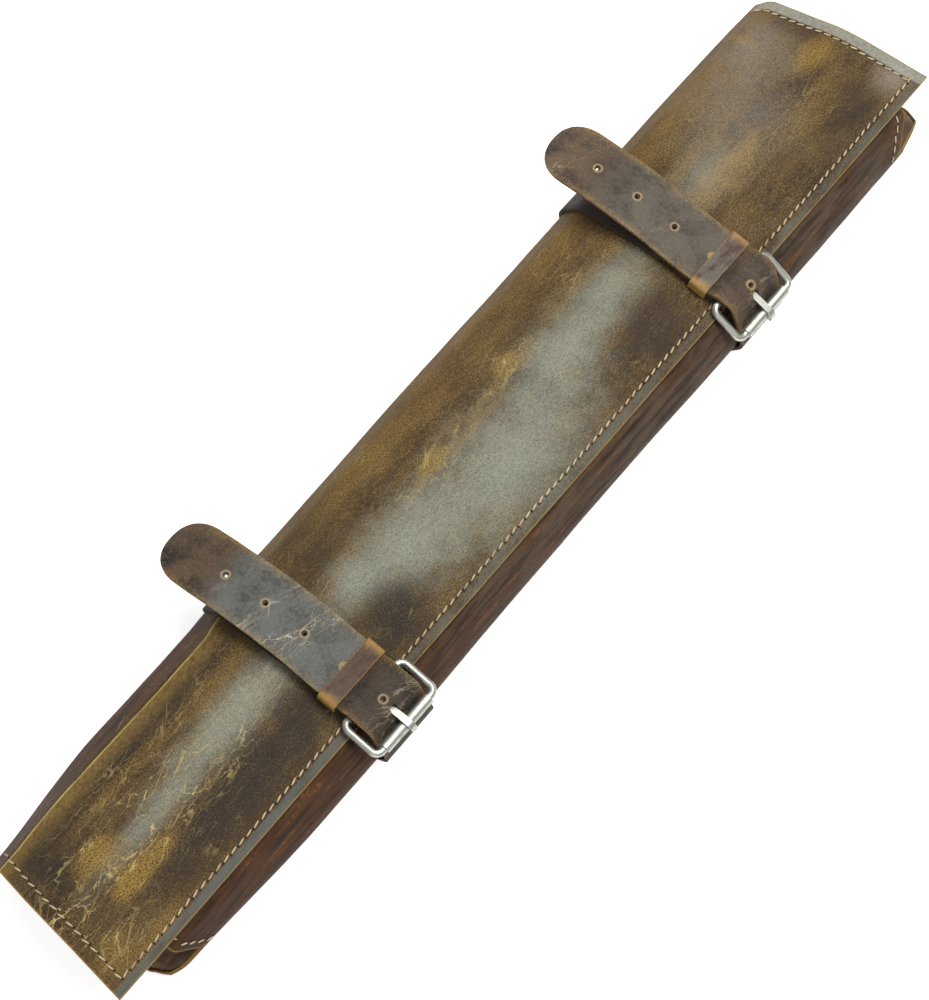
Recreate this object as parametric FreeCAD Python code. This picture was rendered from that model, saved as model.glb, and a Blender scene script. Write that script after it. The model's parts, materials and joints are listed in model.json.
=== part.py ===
import FreeCAD, Part

import math
import os

# Leather roll-up cue case, closed by two belts with roller buckles. Millimetres, +Z up.
# X runs along the case, Y across it. The cover's free edge and the buckles are on the -Y side,
# the fold and the belts' free tails on the +Y side. The belts' undersides lie on Z = 0.

# ---- driving dimensions ---------------------------------------------------------------------
case_length = 837.0          # along the cover's free edge
far_end_skew = 21.0          # how much shorter the case is at its fold, at the +X end
near_end_skew = 11.0         # the same at the -X end
leather = 2.6                # outer shell
lining = 0.8                 # suede lining, glued to the shell's inner face
lining_inset = 3.0           # lining's edge, held back from the shell's
layer_gap = 0.3              # running gap between soft layers
strap_gap = 0.2              # the same between two layers of a strap

butt_pocket = 34.0           # inside width and height of a pocket for a cue butt
shaft_pocket = 22.0          # the same for a shaft
pocket_sheet = 1.2
pocket_corner = 5.0
pocket_mouth_inset = 46.0    # mouths to the case's +X end
pocket_foot_inset = 18.0     # sewn feet to the case's -X end
pocket_foot = 14.0           # length of the flat, sewn foot

edge_inset = 3.3             # free edge, inwards from the pocket row's side
edge_rise = 8.9              # free edge's middle line above the butt pockets
crown_offset = 8.0           # crown, from the middle towards the fold
crown_rise = 16.1            # crown's corner above the butt pockets
crease_reach = 2.2           # crease, outwards from the pocket row
crease_rise = 3.3
fold_bulge = 18.7            # side wall's corner on the fold side, outwards from the pocket row
fold_foot = 5.2              # bottom corner on the fold side, outwards from the pocket row
wrap_foot = 3.2              # the same on the buckle side
wall_slope = 59.737          # slope of the wall from there up to its bulge, in degrees
bulge_level = 0.58           # height of both bulges, as a share of the butt pockets' top
shoulder_reach = 0.2         # shoulder where the inner panel turns in under the cover
crown_round = 120.0          # radii of the shell's middle line at its corners
crease_round = 8.0
fold_round = 16.0
fold_foot_round = 12.0
wrap_foot_round = 14.0
wrap_round = 18.0
shoulder_round = 7.0
flap_tuck = 52.0             # how far the inner panel reaches in under the cover
flap_far_inset = 30.0        # inner panel's end, from the cover's +X end
flap_near_inset = 41.0       # the same at the -X end
sill = 4.0                   # height of the wall that is left below those ends

seam_width = 1.0
seam_depth = 0.6
edge_seam_inset = 8.0        # long seam to the free edge
end_seam_inset = 15.0        # end seams to the cover's ends
flap_seam_inset = 8.0
flap_seam_start = 4.0        # up the wall from its bulge
stitch_radius = 0.6          # thread bundles that run through the layers
stitch_margin = 6.0          # strap's edge to the first bundle
stitch_count = 5             # bundles in a row across a strap
stitch_cover = 0.6           # leather left under the anchor's bundles

strap_width = 46.0
strap = 2.6                  # thickness
near_belt_inset = 241.5      # belt's middle to the -X end
far_belt_inset = 215.5       # belt's middle to the +X end
return_length = 36.0         # inner bar to the end of the folded-back strap
chape_seam_inset = 5.0       # its seam to that end
return_knee = 7.0            # inner bar to where each run of the strap leaves its level
return_dip = 2.2
base_rise = 2.0
base_knee = 8.5
over_dip = 2.5
over_knee = 9.5
belt_landing = 35.993        # crown to where the belt comes down on the cover
strap_bend = 4.0             # radii of the strap's middle line
base_bend = 30.0
landing_bend = 40.0
side_bend = 14.0
roller_bend = 7.0

wire = 5.4                   # buckle wire's diameter
frame_width = 57.0           # across the buckle, between wire centres
frame_depth = 29.0           # inner bar to outer bar, between wire centres
frame_corner = 5.0
roller_diameter = 8.4
roller_length = 43.0
running_fit = 0.08           # radial clearance of roller and prong on their bars
fold_fit = 0.1               # leather fold round the inner bar
roller_gap = 0.4             # strap to roller

prong_width = 4.6
prong = 2.4                  # thickness
prong_eye = 1.6              # wall of the eye round the inner bar
prong_slot_side = 0.6        # slot in the fold, beside the prong
prong_seat = 0.2             # prong over the roller
prong_nose = 0.7             # how far the prong's nose stands off the roller
prong_bend = 5.6
prong_hole_length = 11.0     # stretched hole that the prong goes through
prong_hole_lift = 1.2        # hole's middle above the prong at rest, along the strap
prong_hole_width = 5.8

keeper_width = 14.0          # along the strap
keeper = 1.6                 # thickness of its leather
keeper_side = 0.6            # clearance beside the strap
keeper_travel = 20.0
keeper_inset = 10.5          # inner bar to the keeper's near edge at rest
keeper_corner = 1.2
keeper_stop = 1.5            # keeper at the end of its travel to the tail's root

tail_gap = 0.5               # split between the strap and its free tail
tail_lead = 14.0             # tail's first run, in line with the keeper
tail_bend = 60.0
hole_diameter = 5.0
hole_pitch = 33.0
tail_first_hole = 11.0       # tail's root to its first hole
tail_holes = 3

overshoot = 200.0            # how far cutting shapes reach past what they cut

# each belt: free edge to inner bar, slope of the buckle, where the strap leaves the side wall
# (past the bulge's corner), where it bends down before the crown, the free tail's length and slope
near_belt = {"bar": 7.5, "drop": 12.0, "leave": 4.709, "crest": 10.394, "tail": 121.0, "tail_tilt": -3.0}
far_belt = {"bar": 5.0, "drop": 30.0, "leave": -0.116, "crest": 12.894, "tail": 112.0, "tail_tilt": 12.5}

# ---- derived sizes --------------------------------------------------------------------------
half_length = case_length / 2
pocket_outer_butt = butt_pocket + 2 * pocket_sheet
pocket_outer_shaft = shaft_pocket + 2 * pocket_sheet
row_half = pocket_outer_butt + pocket_outer_shaft
shell_floor = strap + layer_gap + leather / 2
lining_top = shell_floor + leather / 2 + lining
butt_top = lining_top + pocket_outer_butt
flap_pitch = leather + lining + layer_gap
bulge_z = bulge_level * butt_top
wrap_bulge = wrap_foot + (bulge_z - shell_floor) / math.tan(math.radians(wall_slope))
bar_radius = wire / 2
fold_radius = bar_radius + fold_fit + strap / 2
roller_radius = roller_diameter / 2

edge_point = (edge_inset - row_half, butt_top + edge_rise)
crown_point = (crown_offset, butt_top + crown_rise)
cover_slope = math.atan2(crown_point[1] - edge_point[1], crown_point[0] - edge_point[0])
along = (math.cos(cover_slope), math.sin(cover_slope))
outward = (-math.sin(cover_slope), math.cos(cover_slope))

# heights over the cover's outer face, at the middle of each layer of the belt by the keeper
return_level = layer_gap + keeper + layer_gap + strap / 2
layer_step = strap + strap_gap
base_level = return_level + layer_step
tail_level = base_level + layer_step
bar_level = layer_gap + fold_radius + strap / 2
over_level = bar_level + fold_radius + layer_step


# ---- plane geometry in Y and Z --------------------------------------------------------------
def plus(point, direction, distance):
    """Point moved by a distance along a direction."""
    return (point[0] + direction[0] * distance, point[1] + direction[1] * distance)


def heading(start, end):
    """Unit vector from one point to another."""
    length = math.hypot(end[0] - start[0], end[1] - start[1])
    return ((end[0] - start[0]) / length, (end[1] - start[1]) / length)


def crossing(point, direction, other, other_direction):
    """Where two lines meet, each given by a point and a direction."""
    turn = direction[0] * other_direction[1] - direction[1] * other_direction[0]
    gap = (other[0] - point[0], other[1] - point[1])
    reach = (gap[0] * other_direction[1] - gap[1] * other_direction[0]) / turn
    return plus(point, direction, reach)


def on_cover(distance, height):
    """Point at a distance from the free edge and a height over the cover's outer face."""
    return plus(plus(plus(edge_point, outward, leather / 2), along, distance), outward, height)


def offset(corners, shift):
    """Corners (y, z, radius) of the path that runs beside another, shift to its left."""
    moved = []
    last = len(corners) - 1
    for index, (y, z, radius) in enumerate(corners):
        before = corners[max(index - 1, 0)]
        after = corners[min(index + 1, last)]
        incoming = heading(before, (y, z)) if index > 0 else heading((y, z), after)
        outgoing = heading((y, z), after) if index < last else incoming
        normals = ((-incoming[1], incoming[0]), (-outgoing[1], outgoing[0]))
        facing = 1 + normals[0][0] * normals[1][0] + normals[0][1] * normals[1][1]
        turn = incoming[0] * outgoing[1] - incoming[1] * outgoing[0]
        mitre = (normals[0][0] + normals[1][0], normals[0][1] + normals[1][1])
        place = plus((y, z), mitre, shift / facing)
        moved.append((place[0], place[1], radius - shift * math.copysign(1, turn) if radius else 0.0))
    return moved


def path_edges(corners):
    """Straight edges joined by tangent arcs at each corner (y, z, radius)."""
    edges = []
    cursor = corners[0][:2]
    for index in range(1, len(corners) - 1):
        corner = corners[index][:2]
        radius = corners[index][2]
        incoming = heading(corners[index - 1], corner)
        outgoing = heading(corner, corners[index + 1])
        dot = max(-1.0, min(1.0, incoming[0] * outgoing[0] + incoming[1] * outgoing[1]))
        half_turn = math.acos(dot) / 2
        tangent = radius * math.tan(half_turn)
        start = plus(corner, incoming, -tangent)
        end = plus(corner, outgoing, tangent)
        inward = heading(incoming, outgoing)
        middle = plus(corner, inward, radius / math.cos(half_turn) - radius)
        if math.dist(cursor, start) > 1e-6:
            edges.append(Part.LineSegment(space(cursor), space(start)).toShape())
        edges.append(Part.Arc(space(start), space(middle), space(end)).toShape())
        cursor = end
    if math.dist(cursor, corners[-1][:2]) > 1e-6:
        edges.append(Part.LineSegment(space(cursor), space(corners[-1])).toShape())
    return edges


def space(point, x=0.0):
    """Point of the Y-Z plane in space."""
    return FreeCAD.Vector(x, point[0], point[1])


def band(corners, thickness, x_low, x_high):
    """Sheet of even thickness that follows a path, from one X to another."""
    left = offset(corners, thickness / 2)
    right = offset(corners, -thickness / 2)
    edges = path_edges(left) + path_edges(right)
    edges.append(Part.LineSegment(space(left[0]), space(right[0])).toShape())
    edges.append(Part.LineSegment(space(left[-1]), space(right[-1])).toShape())
    face = Part.Face(Part.Wire(Part.__sortEdges__(edges)))
    face.translate(FreeCAD.Vector(x_low, 0, 0))
    return face.extrude(FreeCAD.Vector(x_high - x_low, 0, 0))


def plan_prism(outline):
    """Tall prism over an outline of (x, y) points."""
    points = [FreeCAD.Vector(x, y, -overshoot) for x, y in outline]
    return Part.Face(Part.makePolygon(points + points[:1])).extrude(FreeCAD.Vector(0, 0, 2 * overshoot))


def tilted(shape, degrees, point, x):
    """Shape turned about X and moved from the origin to a point of the section."""
    shape.rotate(FreeCAD.Vector(0, 0, 0), FreeCAD.Vector(1, 0, 0), degrees)
    shape.translate(space(point, x))
    return shape


def pin(x, start, end, radius):
    """Round bar between two points of the section, at one X."""
    reach = space(end, x) - space(start, x)
    return Part.makeCylinder(radius, reach.Length, space(start, x), reach)


# ---- outer shell and lining -----------------------------------------------------------------
def shell_path():
    """Middle line of the shell: cover, fold, bottom, buckle side and the tucked inner panel."""
    under_edge = plus(edge_point, outward, -flap_pitch)
    shoulder_y = -row_half - shoulder_reach
    shoulder = plus(under_edge, along, (shoulder_y - under_edge[0]) / along[0])
    tuck = plus(shoulder, along, flap_tuck)
    return [
        (edge_point[0], edge_point[1], 0.0),
        (crown_point[0], crown_point[1], crown_round),
        (row_half + crease_reach, butt_top + crease_rise, crease_round),
        (row_half + fold_bulge, bulge_z, fold_round),
        (row_half + fold_foot, shell_floor, fold_foot_round),
        (-row_half - wrap_foot, shell_floor, wrap_foot_round),
        (-row_half - wrap_bulge, bulge_z, wrap_round),
        (shoulder[0], shoulder[1], shoulder_round),
        (tuck[0], tuck[1], 0.0),
    ]


def end_line(side, inset):
    """Plan outline of the case, held back from both ends; side is +1 for +X, -1 for -X."""
    skew = far_end_skew if side > 0 else near_end_skew
    width = row_half + fold_bulge - edge_point[0]
    lean = skew / width
    low_y = -row_half - 4 * wrap_bulge
    high_y = row_half + 4 * fold_bulge
    at_edge = half_length - inset
    reach = [min(at_edge, at_edge - (y - edge_point[0]) * lean) for y in (low_y, edge_point[0])]
    points = [(side * reach[0], low_y), (side * reach[1], edge_point[0])]
    points.append((side * (at_edge - (high_y - edge_point[0]) * lean), high_y))
    return points


def case_plan(inset):
    """Prism that cuts the case's sheets to length, with slanting ends."""
    far_points = end_line(1, inset)
    near_points = end_line(-1, inset)
    return plan_prism(far_points + near_points[::-1])


def flap_cutters(inset):
    """Two blocks that shorten the inner panel and the buckle side at each end."""
    floor = lining_top + sill
    roof = plus(edge_point, outward, -(leather + layer_gap) / 2 - lining)
    lead = plus(roof, along, -2 * wrap_bulge)
    reach = plus(roof, along, flap_tuck)
    face = Part.Face(Part.makePolygon([
        space(lead), space(reach), space((reach[0], floor)), space((lead[0], floor)), space(lead)]))
    cutters = []
    for side, cut in ((1, flap_far_inset), (-1, flap_near_inset)):
        block = face.extrude(FreeCAD.Vector(side * overshoot, 0, 0))
        block.translate(FreeCAD.Vector(side * (half_length - cut - inset), 0, 0))
        cutters.append(block)
    return cutters


def sheet(path, thickness, inset):
    """Shell or lining, cut to the case's plan."""
    body = band(path, thickness, -half_length, half_length).common(case_plan(inset))
    return body.cut(Part.makeCompound(flap_cutters(inset))).Solids[0]


def make_lining():
    """Suede glued to the shell's inner face, held back a little from every edge."""
    path = offset(shell_path(), -(leather + lining) / 2)
    start = plus(path[0], along, lining_inset)
    end = plus(path[-1], along, -lining_inset)
    path[0] = (start[0], start[1], 0.0)
    path[-1] = (end[0], end[1], 0.0)
    return sheet(path, lining, lining_inset)


# ---- seams on the shell ---------------------------------------------------------------------
def make_edge_seam():
    """Thread of the long seam, sunk in the cover beside its free edge."""
    start = on_cover(edge_seam_inset - seam_width / 2, -seam_depth / 2)
    end = plus(start, along, seam_width)
    line = [(start[0], start[1], 0.0), (end[0], end[1], 0.0)]
    return band(line, seam_depth, -half_length, half_length).common(case_plan(end_seam_inset))


def seam_skin():
    """Thin skin just under the shell's outer face, which the end seams are cut from."""
    return offset(shell_path(), (leather - seam_depth) / 2)


def make_end_seams():
    """Threads across the cover, along both slanting ends."""
    path = seam_skin()[:3]
    start = plus(path[0], along, edge_seam_inset + seam_width)
    path[0] = (start[0], start[1], 0.0)
    skin = band(path, seam_depth, -half_length, half_length)
    ring = case_plan(end_seam_inset).cut(case_plan(end_seam_inset + seam_width))
    return skin.common(ring)


def make_flap_seams():
    """Threads along the inner panel's ends, where it shows beside the cover."""
    path = seam_skin()[6:]
    skirt = plus(path[0], heading(path[0], path[1]), flap_seam_start)
    path[0] = (skirt[0], skirt[1], 0.0)
    far_x = half_length - flap_far_inset - flap_seam_inset
    near_x = half_length - flap_near_inset - flap_seam_inset
    far_seam = band(path, seam_depth, far_x - seam_width, far_x)
    near_seam = band(path, seam_depth, -near_x, -near_x + seam_width)
    return Part.makeCompound([far_seam, near_seam])


# ---- pockets --------------------------------------------------------------------------------
def pocket_layout():
    """Each pocket's name, middle Y and inside size, from the fold side to the buckle side."""
    butt_y = pocket_outer_butt / 2
    shaft_y = pocket_outer_butt + pocket_outer_shaft / 2
    return [
        ("fold_side_shaft_pocket", shaft_y, shaft_pocket),
        ("fold_side_butt_pocket", butt_y, butt_pocket),
        ("buckle_side_butt_pocket", -butt_y, butt_pocket),
        ("buckle_side_shaft_pocket", -shaft_y, shaft_pocket),
    ]


def rounded_bar(x_low, x_high, middle_y, low_z, size, radius):
    """Square bar along X with its four long edges rounded."""
    bar = Part.makeBox(x_high - x_low, size, size, FreeCAD.Vector(x_low, middle_y - size / 2, low_z))
    edges = [edge for edge in bar.Edges if abs(edge.tangentAt(edge.FirstParameter).x) > 0.9]
    return bar.makeFillet(radius, edges)


def make_pocket(middle_y, inside):
    """Sleeve with an open mouth at +X and a flat sewn foot at -X."""
    foot_x = pocket_foot_inset - half_length + near_end_skew
    mouth_x = half_length - pocket_mouth_inset
    outside = inside + 2 * pocket_sheet
    body = rounded_bar(foot_x + pocket_foot, mouth_x, middle_y, lining_top, outside, pocket_corner)
    hollow = rounded_bar(foot_x + pocket_foot + pocket_sheet, mouth_x + overshoot, middle_y,
                         lining_top + pocket_sheet, inside, pocket_corner - pocket_sheet)
    tab_width = outside - 2 * pocket_corner
    tab = Part.makeBox(pocket_foot + pocket_sheet, tab_width, 2 * pocket_sheet,
                       FreeCAD.Vector(foot_x, middle_y - tab_width / 2, lining_top))
    return body.fuse(tab).removeSplitter().cut(hollow)


def make_pocket_stitches():
    """Thread bundles that hold each pocket's foot to the lining and the shell."""
    foot_x = pocket_foot_inset - half_length + near_end_skew + pocket_foot / 2
    pins = []
    for _, middle_y, inside in pocket_layout():
        for step in (-1, 0, 1):
            y = middle_y + step * inside / 4
            low = shell_floor - leather / 4
            pins.append(pin(foot_x, (y, low), (y, lining_top + 2 * pocket_sheet), stitch_radius))
    return Part.makeCompound(pins)


# ---- belts ----------------------------------------------------------------------------------
def buckle_points(belt):
    """Inner bar, roller and prong points of one buckle in the section."""
    drop = math.radians(belt["drop"])
    bar = on_cover(belt["bar"], bar_level)
    reach = (-math.cos(drop), -math.sin(drop))
    rise = (-math.sin(drop), math.cos(drop))
    roller = plus(bar, reach, frame_depth)
    return bar, roller, reach, rise


def beside_shell():
    """Middle line of a strap that lies against the shell all the way round."""
    return offset(shell_path(), (leather + strap) / 2 + layer_gap)


def through_run(belt):
    """Start on the side wall, point beside the roller and direction of the run between them."""
    roller = buckle_points(belt)[1]
    foot, bulge = beside_shell()[5:7]
    start = plus(bulge, heading(foot, bulge), belt["leave"])
    clear = roller_radius + roller_gap + strap / 2
    to_roller = math.atan2(roller[1] - start[1], roller[0] - start[0])
    slope = to_roller - math.asin(clear / math.dist(start, roller))
    direction = (math.cos(slope), math.sin(slope))
    inboard = (direction[1], -direction[0])
    return start, plus(roller, inboard, clear), direction


def hinge_distance(belt):
    """Distance of the tail's root from the free edge."""
    return belt["bar"] + keeper_inset + keeper_width + keeper_travel + keeper_stop


def strap_path(belt):
    """Middle line of the strap, from the folded-back end to the root of its tail."""
    bar_at = belt["bar"]
    root = hinge_distance(belt)
    beside = beside_shell()
    landing = plus(beside[1], heading(beside[1], beside[2]), belt_landing)
    side, through, climb = through_run(belt)
    top = crossing(through, climb, on_cover(0, over_level), along)
    low, high = bar_level - fold_radius, bar_level + fold_radius
    return [
        on_cover(bar_at + return_length, return_level) + (0.0,),
        on_cover(bar_at + return_knee, return_level) + (strap_bend,),
        on_cover(bar_at + return_dip, low) + (strap_bend,),
        on_cover(bar_at - fold_radius, low) + (fold_radius,),
        on_cover(bar_at - fold_radius, high) + (fold_radius,),
        on_cover(bar_at + base_rise, high) + (strap_bend,),
        on_cover(bar_at + base_knee, base_level) + (strap_bend,),
        on_cover(math.dist(edge_point, crown_point) - belt["crest"], base_level) + (base_bend,),
        landing + (landing_bend,),
        *beside[2:6],
        side + (side_bend,),
        top + (roller_bend,),
        on_cover(bar_at + over_dip, over_level) + (strap_bend,),
        on_cover(bar_at + over_knee, tail_level) + (strap_bend,),
        on_cover(root, tail_level) + (0.0,),
    ]


def prong_path(belt):
    """Middle line of the prong: out of its eye, over the roller and down its far side."""
    bar, roller, reach, rise = buckle_points(belt)
    rest = roller_radius + prong_seat + prong / 2
    beyond = plus(roller, reach, rest + prong_nose)
    return [
        plus(plus(bar, reach, bar_radius), rise, prong_eye / 2) + (0.0,),
        plus(roller, rise, rest) + (prong_bend,),
        plus(beyond, rise, rest) + (rest,),
        beyond + (0.0,),
    ]


def prong_hole(belt, x):
    """Stretched hole where the prong goes through the strap."""
    start, end = prong_path(belt)[:2]
    _, through, climb = through_run(belt)
    middle = plus(crossing(start, heading(start, end), through, climb), climb, prong_hole_lift)
    rise = math.degrees(math.atan2(climb[1], climb[0]))
    slot = Part.makeBox(prong_hole_width, prong_hole_length - prong_hole_width, 4 * strap)
    slot.translate(FreeCAD.Vector(-prong_hole_width / 2, (prong_hole_width - prong_hole_length) / 2,
                                  -2 * strap))
    for side in (-1, 1):
        end_y = side * (prong_hole_length - prong_hole_width) / 2
        slot = slot.fuse(Part.makeCylinder(prong_hole_width / 2, 4 * strap,
                                           FreeCAD.Vector(0, end_y, -2 * strap)))
    return tilted(slot, rise, middle, x)


def prong_slot(belt, x):
    """Slot in the fold round the inner bar, which leaves the prong free to turn."""
    half = prong_width / 2 + prong_slot_side
    reach = fold_radius + strap
    roof = bar_level + fold_radius + strap / 2 + fold_fit
    corners = [on_cover(belt["bar"] + along_it, height)
               for along_it, height in ((-reach, -reach), (reach, -reach), (reach, roof), (-reach, roof))]
    points = [space(corner, x - half) for corner in corners]
    return Part.Face(Part.makePolygon(points + points[:1])).extrude(FreeCAD.Vector(2 * half, 0, 0))


def round_hole(degrees, middle, x):
    """Punch for one adjusting hole, square to a strap that slopes by some degrees."""
    punch = Part.makeCylinder(hole_diameter / 2, 2 * strap, FreeCAD.Vector(0, 0, -strap))
    return tilted(punch, degrees, middle, x)


def make_strap(belt, x):
    """Strap in one piece: fold round the bar, once round the roll, through buckle and keeper."""
    body = band(strap_path(belt), strap, x - strap_width / 2, x + strap_width / 2)
    body = body.cut(prong_slot(belt, x)).cut(prong_hole(belt, x))
    first = hinge_distance(belt) + tail_gap + tail_first_hole
    for steps, level in ((1, tail_level), (2, over_level)):
        middle = on_cover(first - steps * hole_pitch, level)
        body = body.cut(round_hole(math.degrees(cover_slope), middle, x))
    return body.Solids[0]


def tail_run(belt):
    """Path of the free tail from its root to its tip."""
    root = on_cover(hinge_distance(belt) + tail_gap, tail_level)
    bend = plus(root, along, tail_lead)
    tilt = math.radians(belt["tail_tilt"])
    tip = plus(bend, (math.cos(tilt), math.sin(tilt)), belt["tail"] - tail_lead)
    return [root + (0.0,), bend + (tail_bend,), tip + (0.0,)]


def make_tail(belt, x):
    """Free tail with its row of holes and its round tip."""
    path = tail_run(belt)
    body = band(path, strap, x - strap_width / 2, x + strap_width / 2)
    tip_y = path[-1][0]
    half = strap_width / 2
    tip_block = Part.makeBox(2 * strap_width, 2 * half, overshoot,
                             FreeCAD.Vector(x - strap_width, tip_y - half, 0))
    tip_round = Part.makeCylinder(half, overshoot, FreeCAD.Vector(x, tip_y - half, 0))
    body = body.cut(tip_block.cut(tip_round))
    run = heading(path[1], path[2])
    tilt = math.atan2(run[1], run[0])
    for index in range(tail_holes):
        distance = tail_first_hole + index * hole_pitch
        middle = plus(path[0], along, distance) if distance < tail_lead else plus(
            path[1], run, distance - tail_lead)
        angle = math.degrees(cover_slope if distance < tail_lead else tilt)
        body = body.cut(round_hole(angle, middle, x))
    return body.Solids[0]


def make_keeper(belt, x):
    """Leather loop round the strap's layers beside the buckle."""
    low = layer_gap
    high = tail_level + strap / 2 + layer_gap + keeper
    half = strap_width / 2 + keeper_side + keeper
    outer = Part.makeBox(2 * half, keeper_width, high - low, FreeCAD.Vector(-half, 0, low))
    inner = Part.makeBox(2 * (half - keeper), keeper_width, high - low - 2 * keeper,
                         FreeCAD.Vector(keeper - half, 0, low + keeper))
    outer = round_long_edges(outer, keeper_corner + keeper)
    inner = round_long_edges(inner, keeper_corner)
    place = on_cover(belt["bar"] + keeper_inset, 0.0)
    return tilted(outer.cut(inner), math.degrees(cover_slope), place, x)


def round_long_edges(block, radius):
    """Block with its four edges along Y rounded."""
    edges = [edge for edge in block.Edges if abs(edge.tangentAt(edge.FirstParameter).y) > 0.9]
    return block.makeFillet(radius, edges)


def make_frame(belt, x):
    """Rectangular ring of round wire, with round corners."""
    half = frame_width / 2
    corner = frame_corner
    diagonal = corner * (1 - math.sqrt(0.5))
    marks = ((half, 0), (half, -frame_depth), (-half, -frame_depth), (-half, 0))
    edges = []
    cursor = FreeCAD.Vector(-half + corner, 0, 0)
    for mark_x, mark_y in marks:
        side = 1 if mark_x > 0 else -1
        inner = -1 if mark_y == 0 else 1
        across = FreeCAD.Vector(mark_x - side * corner, mark_y, 0)
        beside = FreeCAD.Vector(mark_x, mark_y + inner * corner, 0)
        middle = FreeCAD.Vector(mark_x - side * diagonal, mark_y + inner * diagonal, 0)
        first, last = (across, beside) if side * inner < 0 else (beside, across)
        edges.append(Part.LineSegment(cursor, first).toShape())
        edges.append(Part.Arc(first, middle, last).toShape())
        cursor = last
    edges[0] = Part.LineSegment(cursor, edges[0].Vertexes[1].Point).toShape()
    path = Part.Wire(edges)
    start = path.Edges[0].Vertexes[0].Point
    circle = Part.Wire(Part.Circle(start, FreeCAD.Vector(1, 0, 0), bar_radius).toShape())
    ring = path.makePipeShell([circle], True, False)
    return tilted(ring, belt["drop"], buckle_points(belt)[0], x)


def make_roller(belt, x):
    """Tube that turns on the frame's outer bar."""
    start = FreeCAD.Vector(-roller_length / 2, 0, 0)
    axis = FreeCAD.Vector(1, 0, 0)
    tube = Part.makeCylinder(roller_radius, roller_length, start, axis)
    tube = tube.cut(Part.makeCylinder(bar_radius + running_fit, roller_length, start, axis))
    return tilted(tube, 0.0, buckle_points(belt)[1], x)


def make_prong(belt, x):
    """Flat prong with an eye round the inner bar."""
    bar = buckle_points(belt)[0]
    start = space(bar, x - prong_width / 2)
    axis = FreeCAD.Vector(1, 0, 0)
    bore = bar_radius + running_fit
    tongue = band(prong_path(belt), prong, x - prong_width / 2, x + prong_width / 2)
    eye = Part.makeCylinder(bore + prong_eye, prong_width, start, axis)
    return tongue.fuse(eye).cut(Part.makeCylinder(bore, prong_width, start, axis)).removeSplitter()


def stitch_row(x):
    """X places of a row of thread bundles across a strap."""
    span = strap_width - 2 * stitch_margin
    return [x - span / 2 + index * span / (stitch_count - 1) for index in range(stitch_count)]


def make_chape_stitches(belt, x):
    """Threads that close the fold round the inner bar."""
    distance = belt["bar"] + return_length - chape_seam_inset
    low = on_cover(distance, return_level - strap / 2)
    high = on_cover(distance, base_level + strap / 2)
    return Part.makeCompound([pin(place, low, high, stitch_radius) for place in stitch_row(x)])


def make_anchor_stitches(x):
    """Threads that hold the belt to the shell's bottom panel."""
    pins = []
    for y in (-row_half / 3, row_half / 3):
        pins += [pin(place, (y, stitch_cover), (y, lining_top), stitch_radius) for place in stitch_row(x)]
    return Part.makeCompound(pins)


def belt_parts(name, belt, x):
    """All nodes of one belt."""
    chape = make_chape_stitches(belt, x)
    anchor = make_anchor_stitches(x)
    return {
        name + "_strap": make_strap(belt, x).cut(chape).cut(anchor).Solids[0],
        name + "_strap_tail": make_tail(belt, x),
        name + "_keeper": make_keeper(belt, x),
        name + "_buckle_frame": make_frame(belt, x),
        name + "_buckle_roller": make_roller(belt, x),
        name + "_buckle_prong": make_prong(belt, x),
        name + "_chape_stitches": chape,
        name + "_anchor_stitches": anchor,
    }


def report_joints(name, belt, x, shift):
    """Print the places of one belt's joints in the final frame."""
    bar, roller = buckle_points(belt)[:2]
    hinge = on_cover(hinge_distance(belt) + tail_gap / 2, tail_level + strap / 2)
    for label, point in (("bar", bar), ("roller", roller), ("tail hinge", hinge)):
        print(name, label, round(x, 2), round(point[0] + shift, 3), round(point[1], 3))
    print(name, "keeper direction", round(along[0], 5), round(along[1], 5))


def make_parts():
    """Every node of the case, before the frame is set to its origin."""
    belts = (("near", near_belt, near_belt_inset - half_length),
             ("far", far_belt, half_length - far_belt_inset))
    parts = {}
    for name, belt, x in belts:
        parts.update(belt_parts(name, belt, x))
    pocket_stitches = make_pocket_stitches()
    for name, middle_y, inside in pocket_layout():
        parts[name] = make_pocket(middle_y, inside).cut(pocket_stitches).Solids[0]
    seams = {
        "cover_edge_seam": make_edge_seam(),
        "cover_end_seams": make_end_seams(),
        "inner_panel_seams": make_flap_seams(),
        "pocket_stitches": pocket_stitches,
    }
    anchors = [parts["near_anchor_stitches"], parts["far_anchor_stitches"]]
    through = Part.makeCompound(list(seams.values()) + anchors)
    parts["outer_shell"] = sheet(shell_path(), leather, 0.0).cut(through).Solids[0]
    parts["shell_lining"] = make_lining().cut(through).Solids[0]
    parts.update(seams)
    return parts, belts


def main():
    """Build the case, centre its box over the origin and write one STEP file for each node."""
    os.makedirs("parts", exist_ok=True)
    parts, belts = make_parts()
    box = Part.makeCompound(list(parts.values())).BoundBox
    shift = -(box.YMin + box.YMax) / 2
    for name, shape in parts.items():
        shape.translate(FreeCAD.Vector(0, shift, 0))
        shape.exportStep("parts/" + name + ".step")
        print(name, "solids", len(shape.Solids), "valid", shape.isValid(), "volume", round(shape.Volume, 1))
    for name, belt, x in belts:
        report_joints(name, belt, x, shift)
    box = Part.makeCompound(list(parts.values())).BoundBox
    print("shift in Y", round(shift, 3), "box", box)


main()
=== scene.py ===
"""Looks of a leather roll-up cue case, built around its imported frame.

Sizes in the classes are millimetres, in the frame's own axes: X along the case, Y across it, Z up.
Meshes are written in metres. Section points are (y, z) pairs measured from the middle of the
pocket row, and are moved to the frame's Y when a mesh is made.
"""
from __future__ import annotations

import json
import logging
import math
from dataclasses import dataclass, field
from enum import Enum
from typing import Iterable, Sequence

import bmesh
import bpy
import numpy as np
from mathutils import Matrix, Vector, noise
from mathutils.bvhtree import BVHTree

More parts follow.
